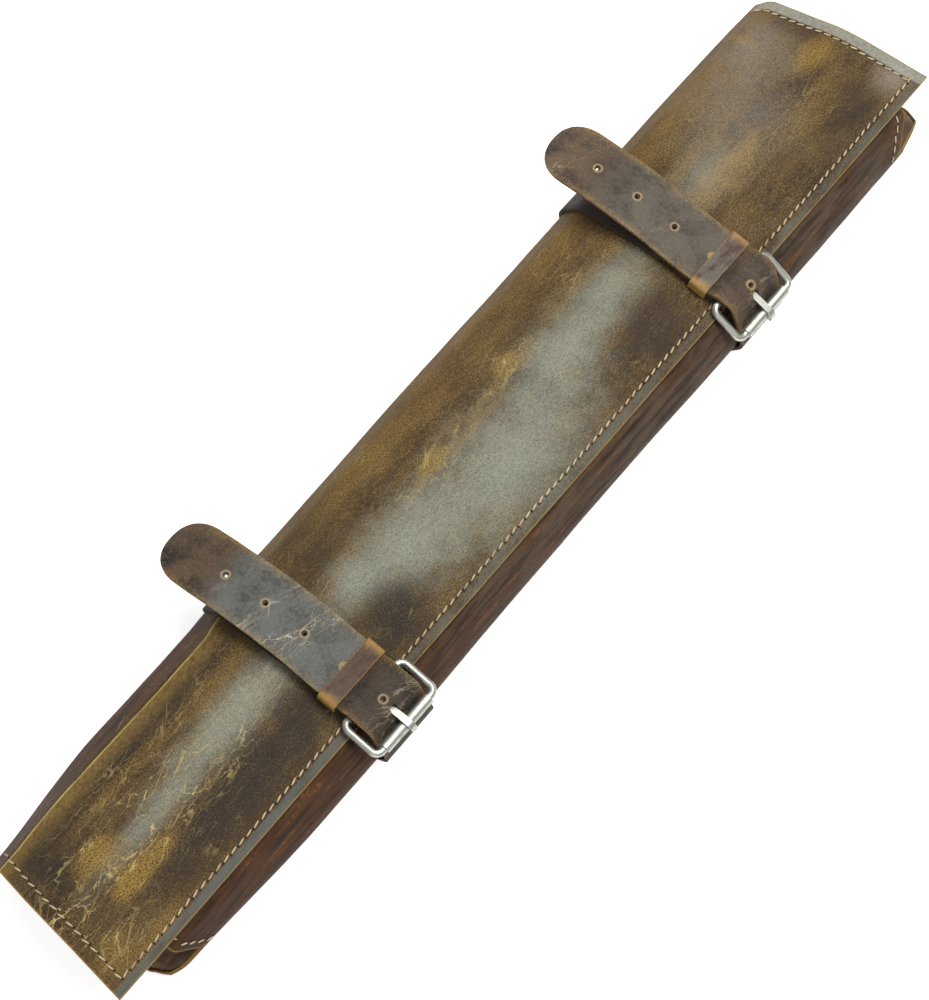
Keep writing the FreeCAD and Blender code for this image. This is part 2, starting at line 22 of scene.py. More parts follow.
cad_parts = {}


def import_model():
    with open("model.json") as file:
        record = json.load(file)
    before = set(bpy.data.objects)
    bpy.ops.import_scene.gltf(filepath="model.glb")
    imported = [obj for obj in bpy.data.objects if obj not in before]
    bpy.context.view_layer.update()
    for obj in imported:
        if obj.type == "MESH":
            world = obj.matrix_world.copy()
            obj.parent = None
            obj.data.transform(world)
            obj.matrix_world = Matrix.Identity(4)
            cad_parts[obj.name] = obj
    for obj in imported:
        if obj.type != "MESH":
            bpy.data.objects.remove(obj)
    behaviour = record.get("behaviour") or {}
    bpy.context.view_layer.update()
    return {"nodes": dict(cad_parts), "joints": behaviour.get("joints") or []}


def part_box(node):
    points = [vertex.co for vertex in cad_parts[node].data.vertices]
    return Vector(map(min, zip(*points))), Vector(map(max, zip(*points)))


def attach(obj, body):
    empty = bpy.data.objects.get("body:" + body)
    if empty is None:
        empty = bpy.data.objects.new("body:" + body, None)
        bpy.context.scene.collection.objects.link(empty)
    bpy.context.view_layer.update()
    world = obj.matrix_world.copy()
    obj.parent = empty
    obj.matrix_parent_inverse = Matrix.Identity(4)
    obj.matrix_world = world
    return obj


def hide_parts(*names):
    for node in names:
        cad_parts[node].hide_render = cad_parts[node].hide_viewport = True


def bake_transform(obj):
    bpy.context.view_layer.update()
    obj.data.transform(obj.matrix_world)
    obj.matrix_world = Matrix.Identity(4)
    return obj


LOG = logging.getLogger("cue_case")
MM = 0.001
HIDE_MAP = "hide_map"
RIM_MAP = "rim_map"
# Half a stitch's length as a share of the pitch, and how far its slant varies in radians.
THREAD_HALF = 0.43
LEAN_SPREAD = 0.05
# Half depth of a needle hole's dark disc of painted shade, and how near a cutter a face has to lie
# to be its wall.
HOLE_DEPTH = 0.22
CUT_MARGIN = 0.05
Pair = tuple[float, float]
Triple = tuple[float, float, float]
Colour = Triple
Grids = tuple[np.ndarray, np.ndarray]
Material = bpy.types.Material
Piece = bpy.types.Object
Looks = dict[str, Material]


# ---- shader expressions ---------------------------------------------------------------------
class Field:
    """A value that varies over a surface: one shader socket with Python's operators."""

    def __init__(self, graph: "Graph", socket: bpy.types.NodeSocket) -> None:
        """Wrap a socket.

        Args:
            graph: material graph that the socket belongs to.
            socket: output socket to wrap.
        """
        self.graph = graph
        self.socket = socket

    def _math(self, operation: str, *values: object) -> "Field":
        """Math node on this graph.

        Args:
            operation: the Math node's operation.
            values: its inputs in order.

        Returns:
            The node's output.
        """
        return self.graph.node("ShaderNodeMath", {"operation": operation}, dict(enumerate(values)))

    def __add__(self, other: object) -> "Field":
        """Sum."""
        return self._math("ADD", self, other)

    def __radd__(self, other: object) -> "Field":
        """Sum with a number in front."""
        return self._math("ADD", other, self)

    def __sub__(self, other: object) -> "Field":
        """Difference."""
        return self._math("SUBTRACT", self, other)

    def __rsub__(self, other: object) -> "Field":
        """Difference from a number in front."""
        return self._math("SUBTRACT", other, self)

    def __mul__(self, other: object) -> "Field":
        """Product."""
        return self._math("MULTIPLY", self, other)

    def __rmul__(self, other: object) -> "Field":
        """Product with a number in front."""
        return self._math("MULTIPLY", other, self)

    def __truediv__(self, other: object) -> "Field":
        """Quotient."""
        return self._math("DIVIDE", self, other)

    def __abs__(self) -> "Field":
        """Size without its sign."""
        return self._math("ABSOLUTE", self)

    def peak(self, other: object) -> "Field":
        """Larger of two values."""
        return self._math("MAXIMUM", self, other)

    def root(self) -> "Field":
        """Square root."""
        return self._math("SQRT", self)

    def rise(self, low: float, high: float) -> "Field":
        """Smooth step from 0 at low to 1 at high; it falls where low is the larger.

        Args:
            low: value where the step starts.
            high: value where it ends.

        Returns:
            The step, from 0 to 1.
        """
        settings = {"interpolation_type": "SMOOTHSTEP"}
        values = {0: self, 1: low, 2: high}
        return self.graph.node("ShaderNodeMapRange", settings, values)


class Graph:
    """Node tree of one material, or of the world, written as expressions."""

    def __init__(self, owner: Material | bpy.types.World) -> None:
        """Start with an empty tree.

        Args:
            owner: new material or world.
        """
        owner.use_nodes = True
        self.owner = owner
        self.tree = owner.node_tree
        self.tree.nodes.clear()

    def node(self, kind: str, settings: dict | None = None, values: dict | None = None,
             out: int | str = 0) -> Field:
        """Add one node.

        Args:
            kind: the node's type.
            settings: its settings, which are set before its sockets.
            values: numbers, colours or fields for its inputs, by index or name.
            out: which output to return.

        Returns:
            The chosen output.
        """
        made = self.tree.nodes.new(kind)
        for key, value in (settings or {}).items():
            setattr(made, key, value)
        for key, value in (values or {}).items():
            self.plug(made.inputs[key], value)
        return Field(self, made.outputs[out])

    def plug(self, socket: bpy.types.NodeSocket, value: object) -> None:
        """Link a field to an input, or set the input's own value.

        Args:
            socket: input socket.
            value: field, number, or colour.
        """
        if isinstance(value, Field):
            self.tree.links.new(value.socket, socket)
        elif isinstance(value, tuple) and socket.type == "RGBA":
            socket.default_value = (*value[:3], 1.0)
        else:
            socket.default_value = value

    def uv(self, name: str) -> tuple[Field, Field, Field]:
        """A UV map in millimetres.

        Args:
            name: the map's name.

        Returns:
            Its vector, its first and its second coordinate.
        """
        raw = self.node("ShaderNodeUVMap", {"uv_map": name})
        vector = self.node("ShaderNodeVectorMath", {"operation": "SCALE"},
                           {0: raw, "Scale": 1 / MM})
        along, across, _ = self.parts(vector)
        return vector, along, across

    def place(self) -> Field:
        """Object coordinates in millimetres."""
        raw = self.node("ShaderNodeTexCoord", out="Object")
        return self.node("ShaderNodeVectorMath", {"operation": "SCALE"}, {0: raw, "Scale": 1 / MM})

    def parts(self, vector: Field) -> tuple[Field, Field, Field]:
        """Split a vector.

        Args:
            vector: vector to split.

        Returns:
            Its three coordinates.
        """
        split = self.tree.nodes.new("ShaderNodeSeparateXYZ")
        self.tree.links.new(vector.socket, split.inputs[0])
        return tuple(Field(self, output) for output in split.outputs)

    def joined(self, x: object, y: object, z: object = 0.0) -> Field:
        """Vector of three coordinates."""
        return self.node("ShaderNodeCombineXYZ", None, {0: x, 1: y, 2: z})

    def cloud(self, vector: Field, size: float, detail: float = 3.0, rough: float = 0.55,
              warp: float = 0.0) -> Field:
        """Soft noise.

        Args:
            vector: coordinates in millimetres.
            size: size of its features in millimetres.
            detail: octaves.
            rough: strength of the finer octaves.
            warp: distortion.

        Returns:
            Noise, mostly from 0.25 to 0.75.
        """
        values = {"Vector": vector, "Scale": 1 / size, "Detail": detail, "Roughness": rough,
                  "Distortion": warp}
        return self.node("ShaderNodeTexNoise", None, values)

    def cells(self, vector: Field, size: float, feature: str = "F1") -> Field:
        """Distance in a cell pattern with cells of a size in millimetres."""
        return self.node("ShaderNodeTexVoronoi", {"feature": feature},
                         {"Vector": vector, "Scale": 1 / size},
                         "Distance")

    def blend(self, first: object, second: object, factor: object) -> Field:
        """Colour between two colours.

        Args:
            first: colour at factor 0.
            second: colour at factor 1.
            factor: share of the second colour.

        Returns:
            The mixed colour.
        """
        settings = {"data_type": "RGBA"}
        return self.node("ShaderNodeMix", settings, {0: factor, 6: first, 7: second}, 2)

    def layered(self, base: object, layers: Iterable[tuple[object, object]]) -> Field:
        """Lay colours over each other.

        Args:
            base: the lowest colour.
            layers: each layer's colour and how much of it shows, from the bottom up.

        Returns:
            The resulting colour.
        """
        for colour, share in layers:
            base = self.blend(base, colour, share)
        return base

    def finish(self, values: dict, height: Field | None = None, depth: float = 0.0) -> Material:
        """End the tree in the standard surface shader.

        Args:
            values: the shader's inputs by name.
            height: bump height from 0 to 1, if any.
            depth: the bump's height in millimetres.

        Returns:
            The finished material.
        """
        if height is not None:
            bump = {"Height": height, "Distance": depth * MM, "Strength": 1.0}
            values = {**values, "Normal": self.node("ShaderNodeBump", None, bump)}
        surface = self.node("ShaderNodeBsdfPrincipled", None, values)
        return self.shown(surface)

    def shown(self, surface: Field, end: str = "ShaderNodeOutputMaterial"
              ) -> Material | bpy.types.World:
        """Show a surface.

        Args:
            surface: the shader to link to the output.
            end: type of the output node.

        Returns:
            The tree's material or world.
        """
        output = self.tree.nodes.new(end)
        self.tree.links.new(surface.socket, output.inputs["Surface"])
        return self.owner


# ---- finishes -------------------------------------------------------------------------------
@dataclass(frozen=True)
class Spot:
    """Soft oval patch on the hide: its centre and half sizes along and across, and its strength."""
    along: float
    across: float
    half_along: float
    half_across: float
    strength: float = 1.0


class Wear(Enum):
    """Zones of the cover's patina and of its pale waxy haze with painted sheen, each a list of soft
    patches.
    """
    GOLD = (
        Spot(-365, 70, 17, 9, 0.9), Spot(-345, 44, 24, 7, 0.8), Spot(-357, 57, 12, 20, 0.4),
        Spot(-364, 43, 14, 8, 1.0), Spot(-401, 18, 15, 20, 0.5), Spot(-330, 93, 60, 5, 0.22),
        Spot(-240, 88, 40, 7, 0.30),
        Spot(56, 87, 13, 9, 0.7), Spot(40, 83, 36, 4, 0.4), Spot(-31, 80, 14, 7, 0.7),
        Spot(-10, 76, 60, 4, 0.3), Spot(382, 72, 16, 11, 0.7), Spot(346, 46, 30, 13, 0.3),
        Spot(262, 62, 40, 13, 0.5), Spot(365, 128, 4, 22, 0.5), Spot(-230, 63, 40, 4, 0.2),
        Spot(-372, 10, 20, 7, 0.5), Spot(200, 88, 120, 7, 0.25),
    )
    DARK = (
        Spot(-391, 88, 11, 22, 0.95), Spot(-270, 30, 85, 19, 0.95), Spot(-384, 100, 26, 18, 0.7),
        Spot(-128, 28, 26, 22, 0.95), Spot(140, 28, 34, 20, 0.7), Spot(310, 14, 80, 9, 0.3),
        Spot(-280, 106, 80, 8, 0.55), Spot(362, 27, 26, 18, 0.6), Spot(-210, 34, 26, 22, 0.6),
        Spot(-125, 112, 26, 24, 0.5), Spot(396, 92, 12, 22, 0.5), Spot(60, 118, 60, 8, 0.3),
    )
    # Pale blue-grey waxy haze along the crown, partly a painted sheen: the overhead light's
    # reflection painted into the colour.
    BLOOM = (
        Spot(-330, 60, 46, 8, 0.7), Spot(-240, 65, 66, 15, 1.0), Spot(-125, 65, 28, 15, 0.9),
        Spot(-80, 56, 38, 24, 0.95), Spot(0, 42, 72, 34, 0.95), Spot(85, 64, 38, 23, 0.9),
        Spot(142, 68, 34, 18, 0.85), Spot(256, 72, 30, 18, 0.75), Spot(312, 84, 38, 36, 0.5),
        Spot(362, 108, 28, 24, 0.65), Spot(405, 19, 16, 12, 0.9),
    )
    CRACKED = (
        Spot(-330, 62, 95, 26, 1.0), Spot(-405, 62, 24, 22, 1.0), Spot(56, 86, 26, 12, 0.9),
        Spot(-30, 80, 34, 12, 0.8), Spot(-300, 98, 90, 8, 0.6), Spot(-395, 20, 22, 20, 0.7),
        Spot(-210, 64, 40, 12, 0.6), Spot(135, 104, 12, 20, 0.6),
    )


@dataclass(frozen=True)
class LeatherTones:
    """Colours of one waxed leather, from its darkest to its most rubbed."""
    deep: Colour
    body: Colour
    olive: Colour
    # Pale blue-grey waxy haze, partly a painted sheen.
    bloom_and_sheen: Colour
    gold: Colour
    crack: Colour


@dataclass(frozen=True)
class Finish:
    """Base of every finish: the material's name and the record's slot that it shows."""
    name: str
    slot: str

    def graph(self) -> Graph:
        """Empty tree of a new material that has the finish's name."""
        return Graph(bpy.data.materials.new(self.name))

    def grain(self, graph: Graph, vector: Field, size: float) -> Field:
        """Pebbled leather grain.

        Args:
            graph: material graph.
            vector: coordinates in millimetres.
            size: size of a pebble in millimetres.

        Returns:
            Height from 0 in the creases to 1.
        """
        warped = graph.cloud(vector, size * 3, 2.0) * size
        moved = graph.node("ShaderNodeVectorMath", {"operation": "ADD"}, {0: vector, 1: warped})
        pebbles = graph.cells(moved, size, "DISTANCE_TO_EDGE").rise(0.0, 0.35)
        return pebbles * 0.55 + graph.cloud(vector, size * 0.6, 4.0, 0.7) * 0.6

    def cracks(self, graph: Graph, along: Field, across: Field, size: float, width: float) -> Field:
        """Fine pull-up lines that run mostly along a hide.

        Args:
            graph: material graph.
            along: coordinate along the lines, in millimetres.
            across: coordinate across them.
            size: distance between lines in millimetres.
            width: half width of a line, as a share of that distance.

        Returns:
            1 in a line and 0 beside it.
        """
        sway = (graph.cloud(graph.joined(along, across, 3.0), size * 5, 4.0, 0.6) - 0.5) * size * 4
        lines: Field | None = None
        for stretch, turn, layer, share in ((0.13, 0.12, 7.0, 1.0), (0.30, -0.20, 31.0, 0.6)):
            vector = graph.joined(along * stretch + sway * 0.4, across + along * turn + sway, layer)
            gap = graph.cells(vector, size * (1 + layer * 0.02), "DISTANCE_TO_EDGE")
            broken = graph.cloud(vector, size * 2.2, 2.0).rise(0.42, 0.58) * share
            line = gap.rise(width, width * 0.2) * broken
            lines = line if lines is None else lines.peak(line)
        return lines


@dataclass(frozen=True)
class CoverLeather(Finish):
    """Pull-up leather of the outer shell, with its patches of rub, pale haze with painted sheen and
    cracks, and painted shade on its walls.
    """
    tones: LeatherTones = LeatherTones(
        deep=(0.024, 0.016, 0.009), body=(0.090, 0.053, 0.019), olive=(0.140, 0.091, 0.034),
        bloom_and_sheen=(0.292, 0.310, 0.248), gold=(0.370, 0.225, 0.048), crack=(0.620, 0.470, 0.190))
    warm: Colour = (0.205, 0.115, 0.026)
    # Warmer pale haze and painted sheen towards the far end.
    far_bloom_and_sheen: Colour = (0.285, 0.240, 0.190)
    soot: Colour = (0.030, 0.023, 0.018)
    # Walls past the fold: reddish-brown leather, darkened with painted shade.
    wall: Colour = (0.066, 0.027, 0.009)
    wall_grey: Colour = (0.080, 0.056, 0.036)
    wall_deep: Colour = (0.017, 0.009, 0.005)
    wall_rub: Colour = (0.200, 0.092, 0.032)
    strip: Colour = (0.110, 0.122, 0.108)
    end_strip: Colour = (0.36, 0.37, 0.31)
    crease_at: float = 118.0
    fold_from: float = 132.0
    seam: float = 7.5
    end_seam: float = 10.0

    def patches(self, graph: Graph, along: Field, across: Field, ragged: Field, zone: Wear,
                soft: Pair = (1.45, 0.35)) -> Field:
        """All the patches of one zone.

        Args:
            graph: material graph.
            along: coordinate along the case.
            across: coordinate over the hide from its free edge.
            ragged: noise that roughens the outlines.
            zone: which list of patches.
            soft: where a patch starts and where it is full, as shares of its half sizes.

        Returns:
            Strength of the zone at each point.
        """
        total: Field | None = None
        for spot in zone.value:
            reach_along = (along - spot.along) * (1 / spot.half_along)
            reach_across = (across - spot.across) * (1 / spot.half_across)
            distance = (reach_along * reach_along + reach_across * reach_across).root()
            patch = (distance + ragged).rise(*soft) * spot.strength
            total = patch if total is None else total + patch * (1 - total)
        return total

    def build(self) -> Material:
        """Make the material.

        Returns:
            The finished material.
        """
        graph = self.graph()
        tones = self.tones
        vector, along, across = graph.uv(HIDE_MAP)
        _, to_end, to_edge = graph.uv(RIM_MAP)
        fine = graph.cloud(vector, 1.2, 3.0, 0.7)
        speck = graph.cloud(vector, 3.2, 4.0, 0.65)
        streak = graph.cloud(graph.joined(along * 0.3, across, 5.0), 9.0, 4.0, 0.62)
        broad = graph.cloud(vector, 46.0, 4.0, 0.6)
        ragged = (graph.cloud(vector, 17.0, 5.0, 0.6) - 0.5) * 1.9
        cover = across.rise(150.0, 128.0)
        warm = across.rise(92.0, 122.0) * across.rise(168.0, 132.0) * along.rise(-205.0, -150.0)
        # Painted sheen: the pale patches are a waxy haze and also stand in for the overhead light's
        # reflection.
        bloom_and_sheen = self.patches(graph, along, across, ragged * 0.6, Wear.BLOOM, (1.75, 0.0)) * cover
        wax_and_sheen = graph.blend(tones.bloom_and_sheen, self.far_bloom_and_sheen, along.rise(170.0, 330.0) * 0.85)
        dark = self.patches(graph, along, across, ragged * 0.7, Wear.DARK) * cover
        gold = self.patches(graph, along, across, ragged, Wear.GOLD) * cover
        rubs = fine.rise(0.50, 0.66) * (speck * 0.6 + streak * 0.4).rise(0.40, 0.60)
        bare = (1 - bloom_and_sheen * 0.35 - dark * 0.6) * 0.55 * across.rise(140.0, 125.0)
        # Painted shade: past the fold at the near end, and from the bottom round the buckle-side
        # wall, the hide takes the darker wall colours.
        wall = across.rise(self.fold_from - 8, self.fold_from + 6) * along.rise(-185.0, -215.0)
        middle = along.rise(-170.0, -60.0) * 0.8 * streak.rise(0.30, 0.60)
        pulled = graph.cloud(graph.joined(along * 0.10, across, 13.0), 4.5, 5.0, 0.68)
        shade = graph.layered(self.wall, [
            (self.wall_grey, middle),
            (self.wall_deep, pulled.rise(0.54, 0.36) * 0.8),
            (self.wall_rub, pulled.rise(0.54, 0.68) * speck.rise(0.38, 0.60) * 0.75),
        ])
        ridge = abs(across - self.crease_at).rise(2.4, 0.3) * along.rise(-190.0, -210.0)
        soft = abs(across - self.crease_at + 3).rise(13.0, 2.0) * along.rise(-190.0, -230.0)
        cracked = self.patches(graph, along, across, ragged, Wear.CRACKED) * cover
        faint = graph.cloud(vector, 34.0, 2.0).rise(0.52, 0.68) * 0.35 * cover
        shown = self.cracks(graph, along, across, 4.6, 0.036) * cracked.peak(faint)
        strip = to_edge.rise(self.seam - 0.6, self.seam - 1.6) * across.rise(20.0, 12.0)
        waxed = streak.rise(0.34, 0.62) * 0.45 + along.rise(-120.0, -300.0) * 0.35 + 0.05
        end_strip = to_end.rise(self.end_seam - 0.6, self.end_seam - 2.2) * cover
        end_strip = end_strip * along.rise(0.0, 10.0)
        rim = to_edge.rise(1.1, 0.2).peak(to_end.rise(1.6, 0.3))
        colour = graph.layered(tones.deep, [
            (tones.body, (broad * 0.55 + speck * 0.45).rise(0.30, 0.56)),
            (tones.olive, (broad * 0.5 + streak * 0.5).rise(0.44, 0.64) * 0.7),
            (self.warm, warm * (streak * 1.1 + 0.1) * 0.75),
            # pale waxy haze with painted sheen
            (wax_and_sheen, bloom_and_sheen * (speck * 0.9 + 0.38)),
            (self.soot, dark * (speck * 0.5 + 0.65)),
            (tones.gold, gold * (fine.rise(0.34, 0.60) * 0.6 + 0.25)),
            (tones.gold, rubs * bare),
            (tones.deep, fine.rise(0.52, 0.37) * (0.72 - bloom_and_sheen * 0.30)),
            # painted shade over the walls' own reddish-brown tone
            (shade, wall.peak(across.rise(168.0, 182.0))),
            (tones.gold, soft * (speck * 1.1 - 0.1) * 0.6),
            (tones.crack, ridge * (streak.rise(0.3, 0.6) * 0.7 + 0.3)),
            (tones.crack, shown * 0.7),
            (self.strip, strip * waxed),
            (self.end_strip, end_strip * (speck * 0.9 + 0.15)),
            (tones.gold, rim * (speck * 0.9 + 0.1)),
        ])
        rough = 0.52 - bloom_and_sheen * 0.10 + fine * 0.12 + gold * 0.08
        height = self.grain(graph, vector, 1.3) * 0.7 - shown * 0.7 + streak * 0.5
        return graph.finish({"Base Color": colour, "Roughness": rough, "Specular IOR Level": 0.2},
                            height, 0.42)


@dataclass(frozen=True)
class StrapLeather(Finish):
    """Thick belt leather: dark middle, rubbed sides, pale creases and golden rims at its holes,
    with painted sheen on its free end and painted shade on its lower layers.
    """
    tones: LeatherTones = LeatherTones(
        deep=(0.020, 0.015, 0.012), body=(0.057, 0.039, 0.027), olive=(0.112, 0.070, 0.036),
        bloom_and_sheen=(0.148, 0.162, 0.150), gold=(0.330, 0.200, 0.065), crack=(0.620, 0.540, 0.380))
    # Strength of the free end's pale waxy haze with painted sheen, and where along the free end it
    # lies.
    bloom_and_sheen: float = 0.8
    half_width: float = 23.0
    holes: tuple[float, ...] = (-55.6, -22.0, 11.0, 44.0, 77.0)
    hole_radius: float = 2.5
    bloom_and_sheen_ends: Pair = (62.0, 92.0)
    creases: tuple[Spot, ...] = ()
    rim: Colour = (0.42, 0.29, 0.12)

    def build(self) -> Material:
        """Make the material.

        Returns:
            The finished material.
        """
        graph = self.graph()
        tones = self.tones
        vector, along, across = graph.uv(HIDE_MAP)
        fine = graph.cloud(vector, 0.8, 3.0, 0.75)
        speck = graph.cloud(vector, 2.6, 3.0, 0.6)
        broad = graph.cloud(vector, 24.0, 3.0, 0.6)
        streak = graph.cloud(graph.joined(along * 0.3, across, 9.0), 6.0, 4.0, 0.6)
        # Painted sheen: a pale waxy band along the free end, which also stands in for the light's
        # reflection.
        wax_and_sheen = along.rise(self.bloom_and_sheen_ends[1], self.bloom_and_sheen_ends[0]) * along.rise(-34.0, -20.0)
        sheen = wax_and_sheen * (broad + speck * 0.5).rise(0.34, 0.92) * self.bloom_and_sheen
        side = abs(across) + (speck - 0.5) * 6 + (broad - 0.5) * 7
        rubbed = side.rise(self.half_width - 5.0, self.half_width + 0.6)
        handled = side.rise(self.half_width * 0.35, self.half_width) + along.rise(66.0, 96.0)
        specks = fine.rise(0.50, 0.66) * speck.rise(0.40, 0.60) * (handled * 0.3 + 0.25)
        rims: Field | None = None
        for place in self.holes:
            gap = ((along - place) * (along - place) + across * across).root()
            rim = gap.rise(self.hole_radius + 1.7, self.hole_radius + 0.1)
            rims = rim if rims is None else rims.peak(rim)
        bends = along.rise(-52.0, -66.0) * along.rise(-104.0, -90.0) * 0.5
        for spot in self.creases:
            reach = abs(along - spot.along + across * 0.35) * (1 / spot.half_along)
            bends = bends.peak(reach.rise(1.0, 0.2) * spot.strength)
        shown = self.cracks(graph, across, along + across * 0.3, 4.0, 0.050) * bends
        colour = graph.layered(tones.deep, [
            (tones.body, (broad * 0.6 + streak * 0.4).rise(0.36, 0.60)),
            (tones.bloom_and_sheen, sheen),
            (tones.olive, along.rise(70.0, 96.0) * broad.rise(0.35, 0.62) * 0.7),
            (tones.gold, rubbed * (fine.rise(0.36, 0.62) * 0.5 + 0.1)),
            (tones.deep, fine.rise(0.50, 0.36) * 0.6),
            (tones.gold, specks),
            (self.rim, rims * (speck * 0.7 + 0.3)),
            (tones.crack, shown * 0.75),
            # painted shade: more than about 90 mm back from the free end's root, round the case and
            # under the free end, the strap is darkened
            (tones.deep, along.rise(-86.0, -104.0) * 0.85),
        ])
        rough = 0.46 + fine * 0.16 + rubbed * 0.12
        height = self.grain(graph, vector, 1.1) * 0.6 - shown * 0.8 + streak * 0.4
        return graph.finish({"Base Color": colour, "Roughness": rough, "Specular IOR Level": 0.25},
                            height, 0.32)


@dataclass(frozen=True)
class KeeperLeather(Finish):
    """Thin loop leather, brown on top and rubbed golden where it turns down."""
    body: Colour = (0.076, 0.037, 0.019)
    grey: Colour = (0.120, 0.108, 0.088)
    gold: Colour = (0.420, 0.230, 0.050)
    soot: Colour = (0.030, 0.022, 0.018)
    greyness: float = 0.2
    half_width: float = 25.0

    def build(self) -> Material:
        """Make the material.

        Returns:
            The finished material.
        """
        graph = self.graph()
        vector, along, across = graph.uv(HIDE_MAP)
        speck = graph.cloud(vector, 1.6, 3.0, 0.7)
        broad = graph.cloud(graph.joined(along * 0.4, across, 2.0), 5.0, 4.0, 0.65)
        end = (abs(along) + (broad - 0.5) * 8).rise(self.half_width - 9.0, self.half_width + 1.0)
        side = (abs(across) + (speck - 0.5) * 1.6).rise(5.8, 7.2)
        colour = graph.layered(self.body, [
            (self.grey, broad.rise(0.35, 0.62) * self.greyness),
            (self.soot, broad.rise(0.50, 0.30) * 0.6),
            (self.gold, end.peak(side * 0.7) * (speck * 0.8 + 0.35)),
        ])
        height = self.grain(graph, vector, 1.1)
        return graph.finish({"Base Color": colour, "Roughness": 0.46 + speck * 0.16,
                             "Specular IOR Level": 0.35}, height, 0.18)


@dataclass(frozen=True)
class CutEdge(Finish):
    """Cut edge of a leather: layered fibres, darkened with wax."""
    dark: Colour = (0.040, 0.028, 0.018)
    fibre: Colour = (0.330, 0.235, 0.120)
    share: float = 0.35

    def build(self) -> Material:
        """Make the material.

        Returns:
            The finished material.
        """
        graph = self.graph()
        place = graph.place()
        hair = graph.cloud(place, 0.7, 4.0, 0.8)
        broad = graph.cloud(place, 9.0, 2.0)
        mask = hair.rise(0.46, 0.62) * (broad * 1.2 + self.share - 0.35)
        colour = graph.blend(self.dark, self.fibre, mask)
        return graph.finish({"Base Color": colour, "Roughness": 0.82}, hair, 0.25)


@dataclass(frozen=True)
class Suede(Finish):
    """Napped suede of the lining and the pockets."""
    body: Colour = (0.200, 0.125, 0.072)
    dark: Colour = (0.120, 0.070, 0.040)
    nap: Colour = (0.300, 0.200, 0.125)

    def build(self) -> Material:
        """Make the material.

        Returns:
            The finished material.
        """
        graph = self.graph()
        place = graph.place()
        nap = graph.cloud(place, 0.8, 5.0, 0.8)
        brushed = graph.cloud(place, 18.0, 4.0, 0.6, 0.6)
        colour = graph.layered(self.dark, [(self.body, brushed.rise(0.35, 0.62)),
                                           (self.nap, nap.rise(0.50, 0.72) * 0.5)])
        return graph.finish({"Base Color": colour, "Roughness": 0.95, "Sheen Weight": 0.25,
                             "Sheen Roughness": 0.5, "Specular IOR Level": 0.2}, nap, 0.3)


@dataclass(frozen=True)
class Thread(Finish):
    """Waxed two-ply thread."""
    body: Colour = (0.560, 0.440, 0.270)
    dark: Colour = (0.260, 0.180, 0.095)

    def build(self) -> Material:
        """Make the material.

        Returns:
            The finished material.
        """
        graph = self.graph()
        place = graph.place()
        ply = graph.cloud(place, 0.35, 3.0, 0.6)
        soiled = graph.cloud(place, 16.0, 3.0, 0.6)
        colour = graph.blend(self.dark, self.body, (ply * 0.6 + soiled * 0.6).rise(0.42, 0.66))
        return graph.finish({"Base Color": colour, "Roughness": 0.62}, ply, 0.12)


@dataclass(frozen=True)
class NeedleHoleShade(Finish):
    """Painted shade: dark disc that stands in for the hole where the needle went through."""
    dark: Colour = (0.010, 0.008, 0.006)
    brown: Colour = (0.030, 0.022, 0.015)

    def build(self) -> Material:
        """Make the material.

        Returns:
            The finished material.
        """
        graph = self.graph()
        soft = graph.cloud(graph.place(), 0.5, 2.0)
        colour = graph.blend(self.dark, self.brown, soft)
        return graph.finish({"Base Color": colour, "Roughness": 0.9})


@dataclass(frozen=True)
class Nickel(Finish):
    """Satin nickel plate with fine handling marks."""
    body: Colour = (0.560, 0.570, 0.510)
    warm: Colour = (0.430, 0.425, 0.355)

    def build(self) -> Material:
        """Make the material.

        Returns:
            The finished material.
        """
        graph = self.graph()
        place = graph.place()
        x, y, z = graph.parts(place)
        brushed = graph.cloud(graph.joined(x * 0.2, y * 2, z * 2), 1.2, 4.0, 0.7)
        worn = graph.cloud(place, 7.0, 3.0, 0.6)
        colour = graph.blend(self.body, self.warm, worn.rise(0.48, 0.70) * 0.8)
        rough = 0.32 + brushed * 0.18 + worn.rise(0.45, 0.70) * 0.12
        return graph.finish({"Base Color": colour, "Metallic": 1.0, "Roughness": rough}, brushed,
                            0.02)


# ---- section geometry -----------------------------------------------------------------------
@dataclass(frozen=True)
class Corner:
    """Corner of a section's path: its place, its radius, and how finely it is sampled."""
    y: float
    z: float
    radius: float = 0.0
    arc_steps: int = 8
    run_steps: int = 10


@dataclass
class Line:
    """Sampled path in a section: points, normals to its left and lengths from its start."""
    points: np.ndarray
    normals: np.ndarray
    lengths: np.ndarray


def unit(vector: np.ndarray) -> np.ndarray:
    """Vector of length one in the same direction."""
    return vector / np.linalg.norm(vector)


def heading(angle: float) -> np.ndarray:
    """Section direction at an angle in radians from the Y axis."""
    return np.array((math.cos(angle), math.sin(angle)))


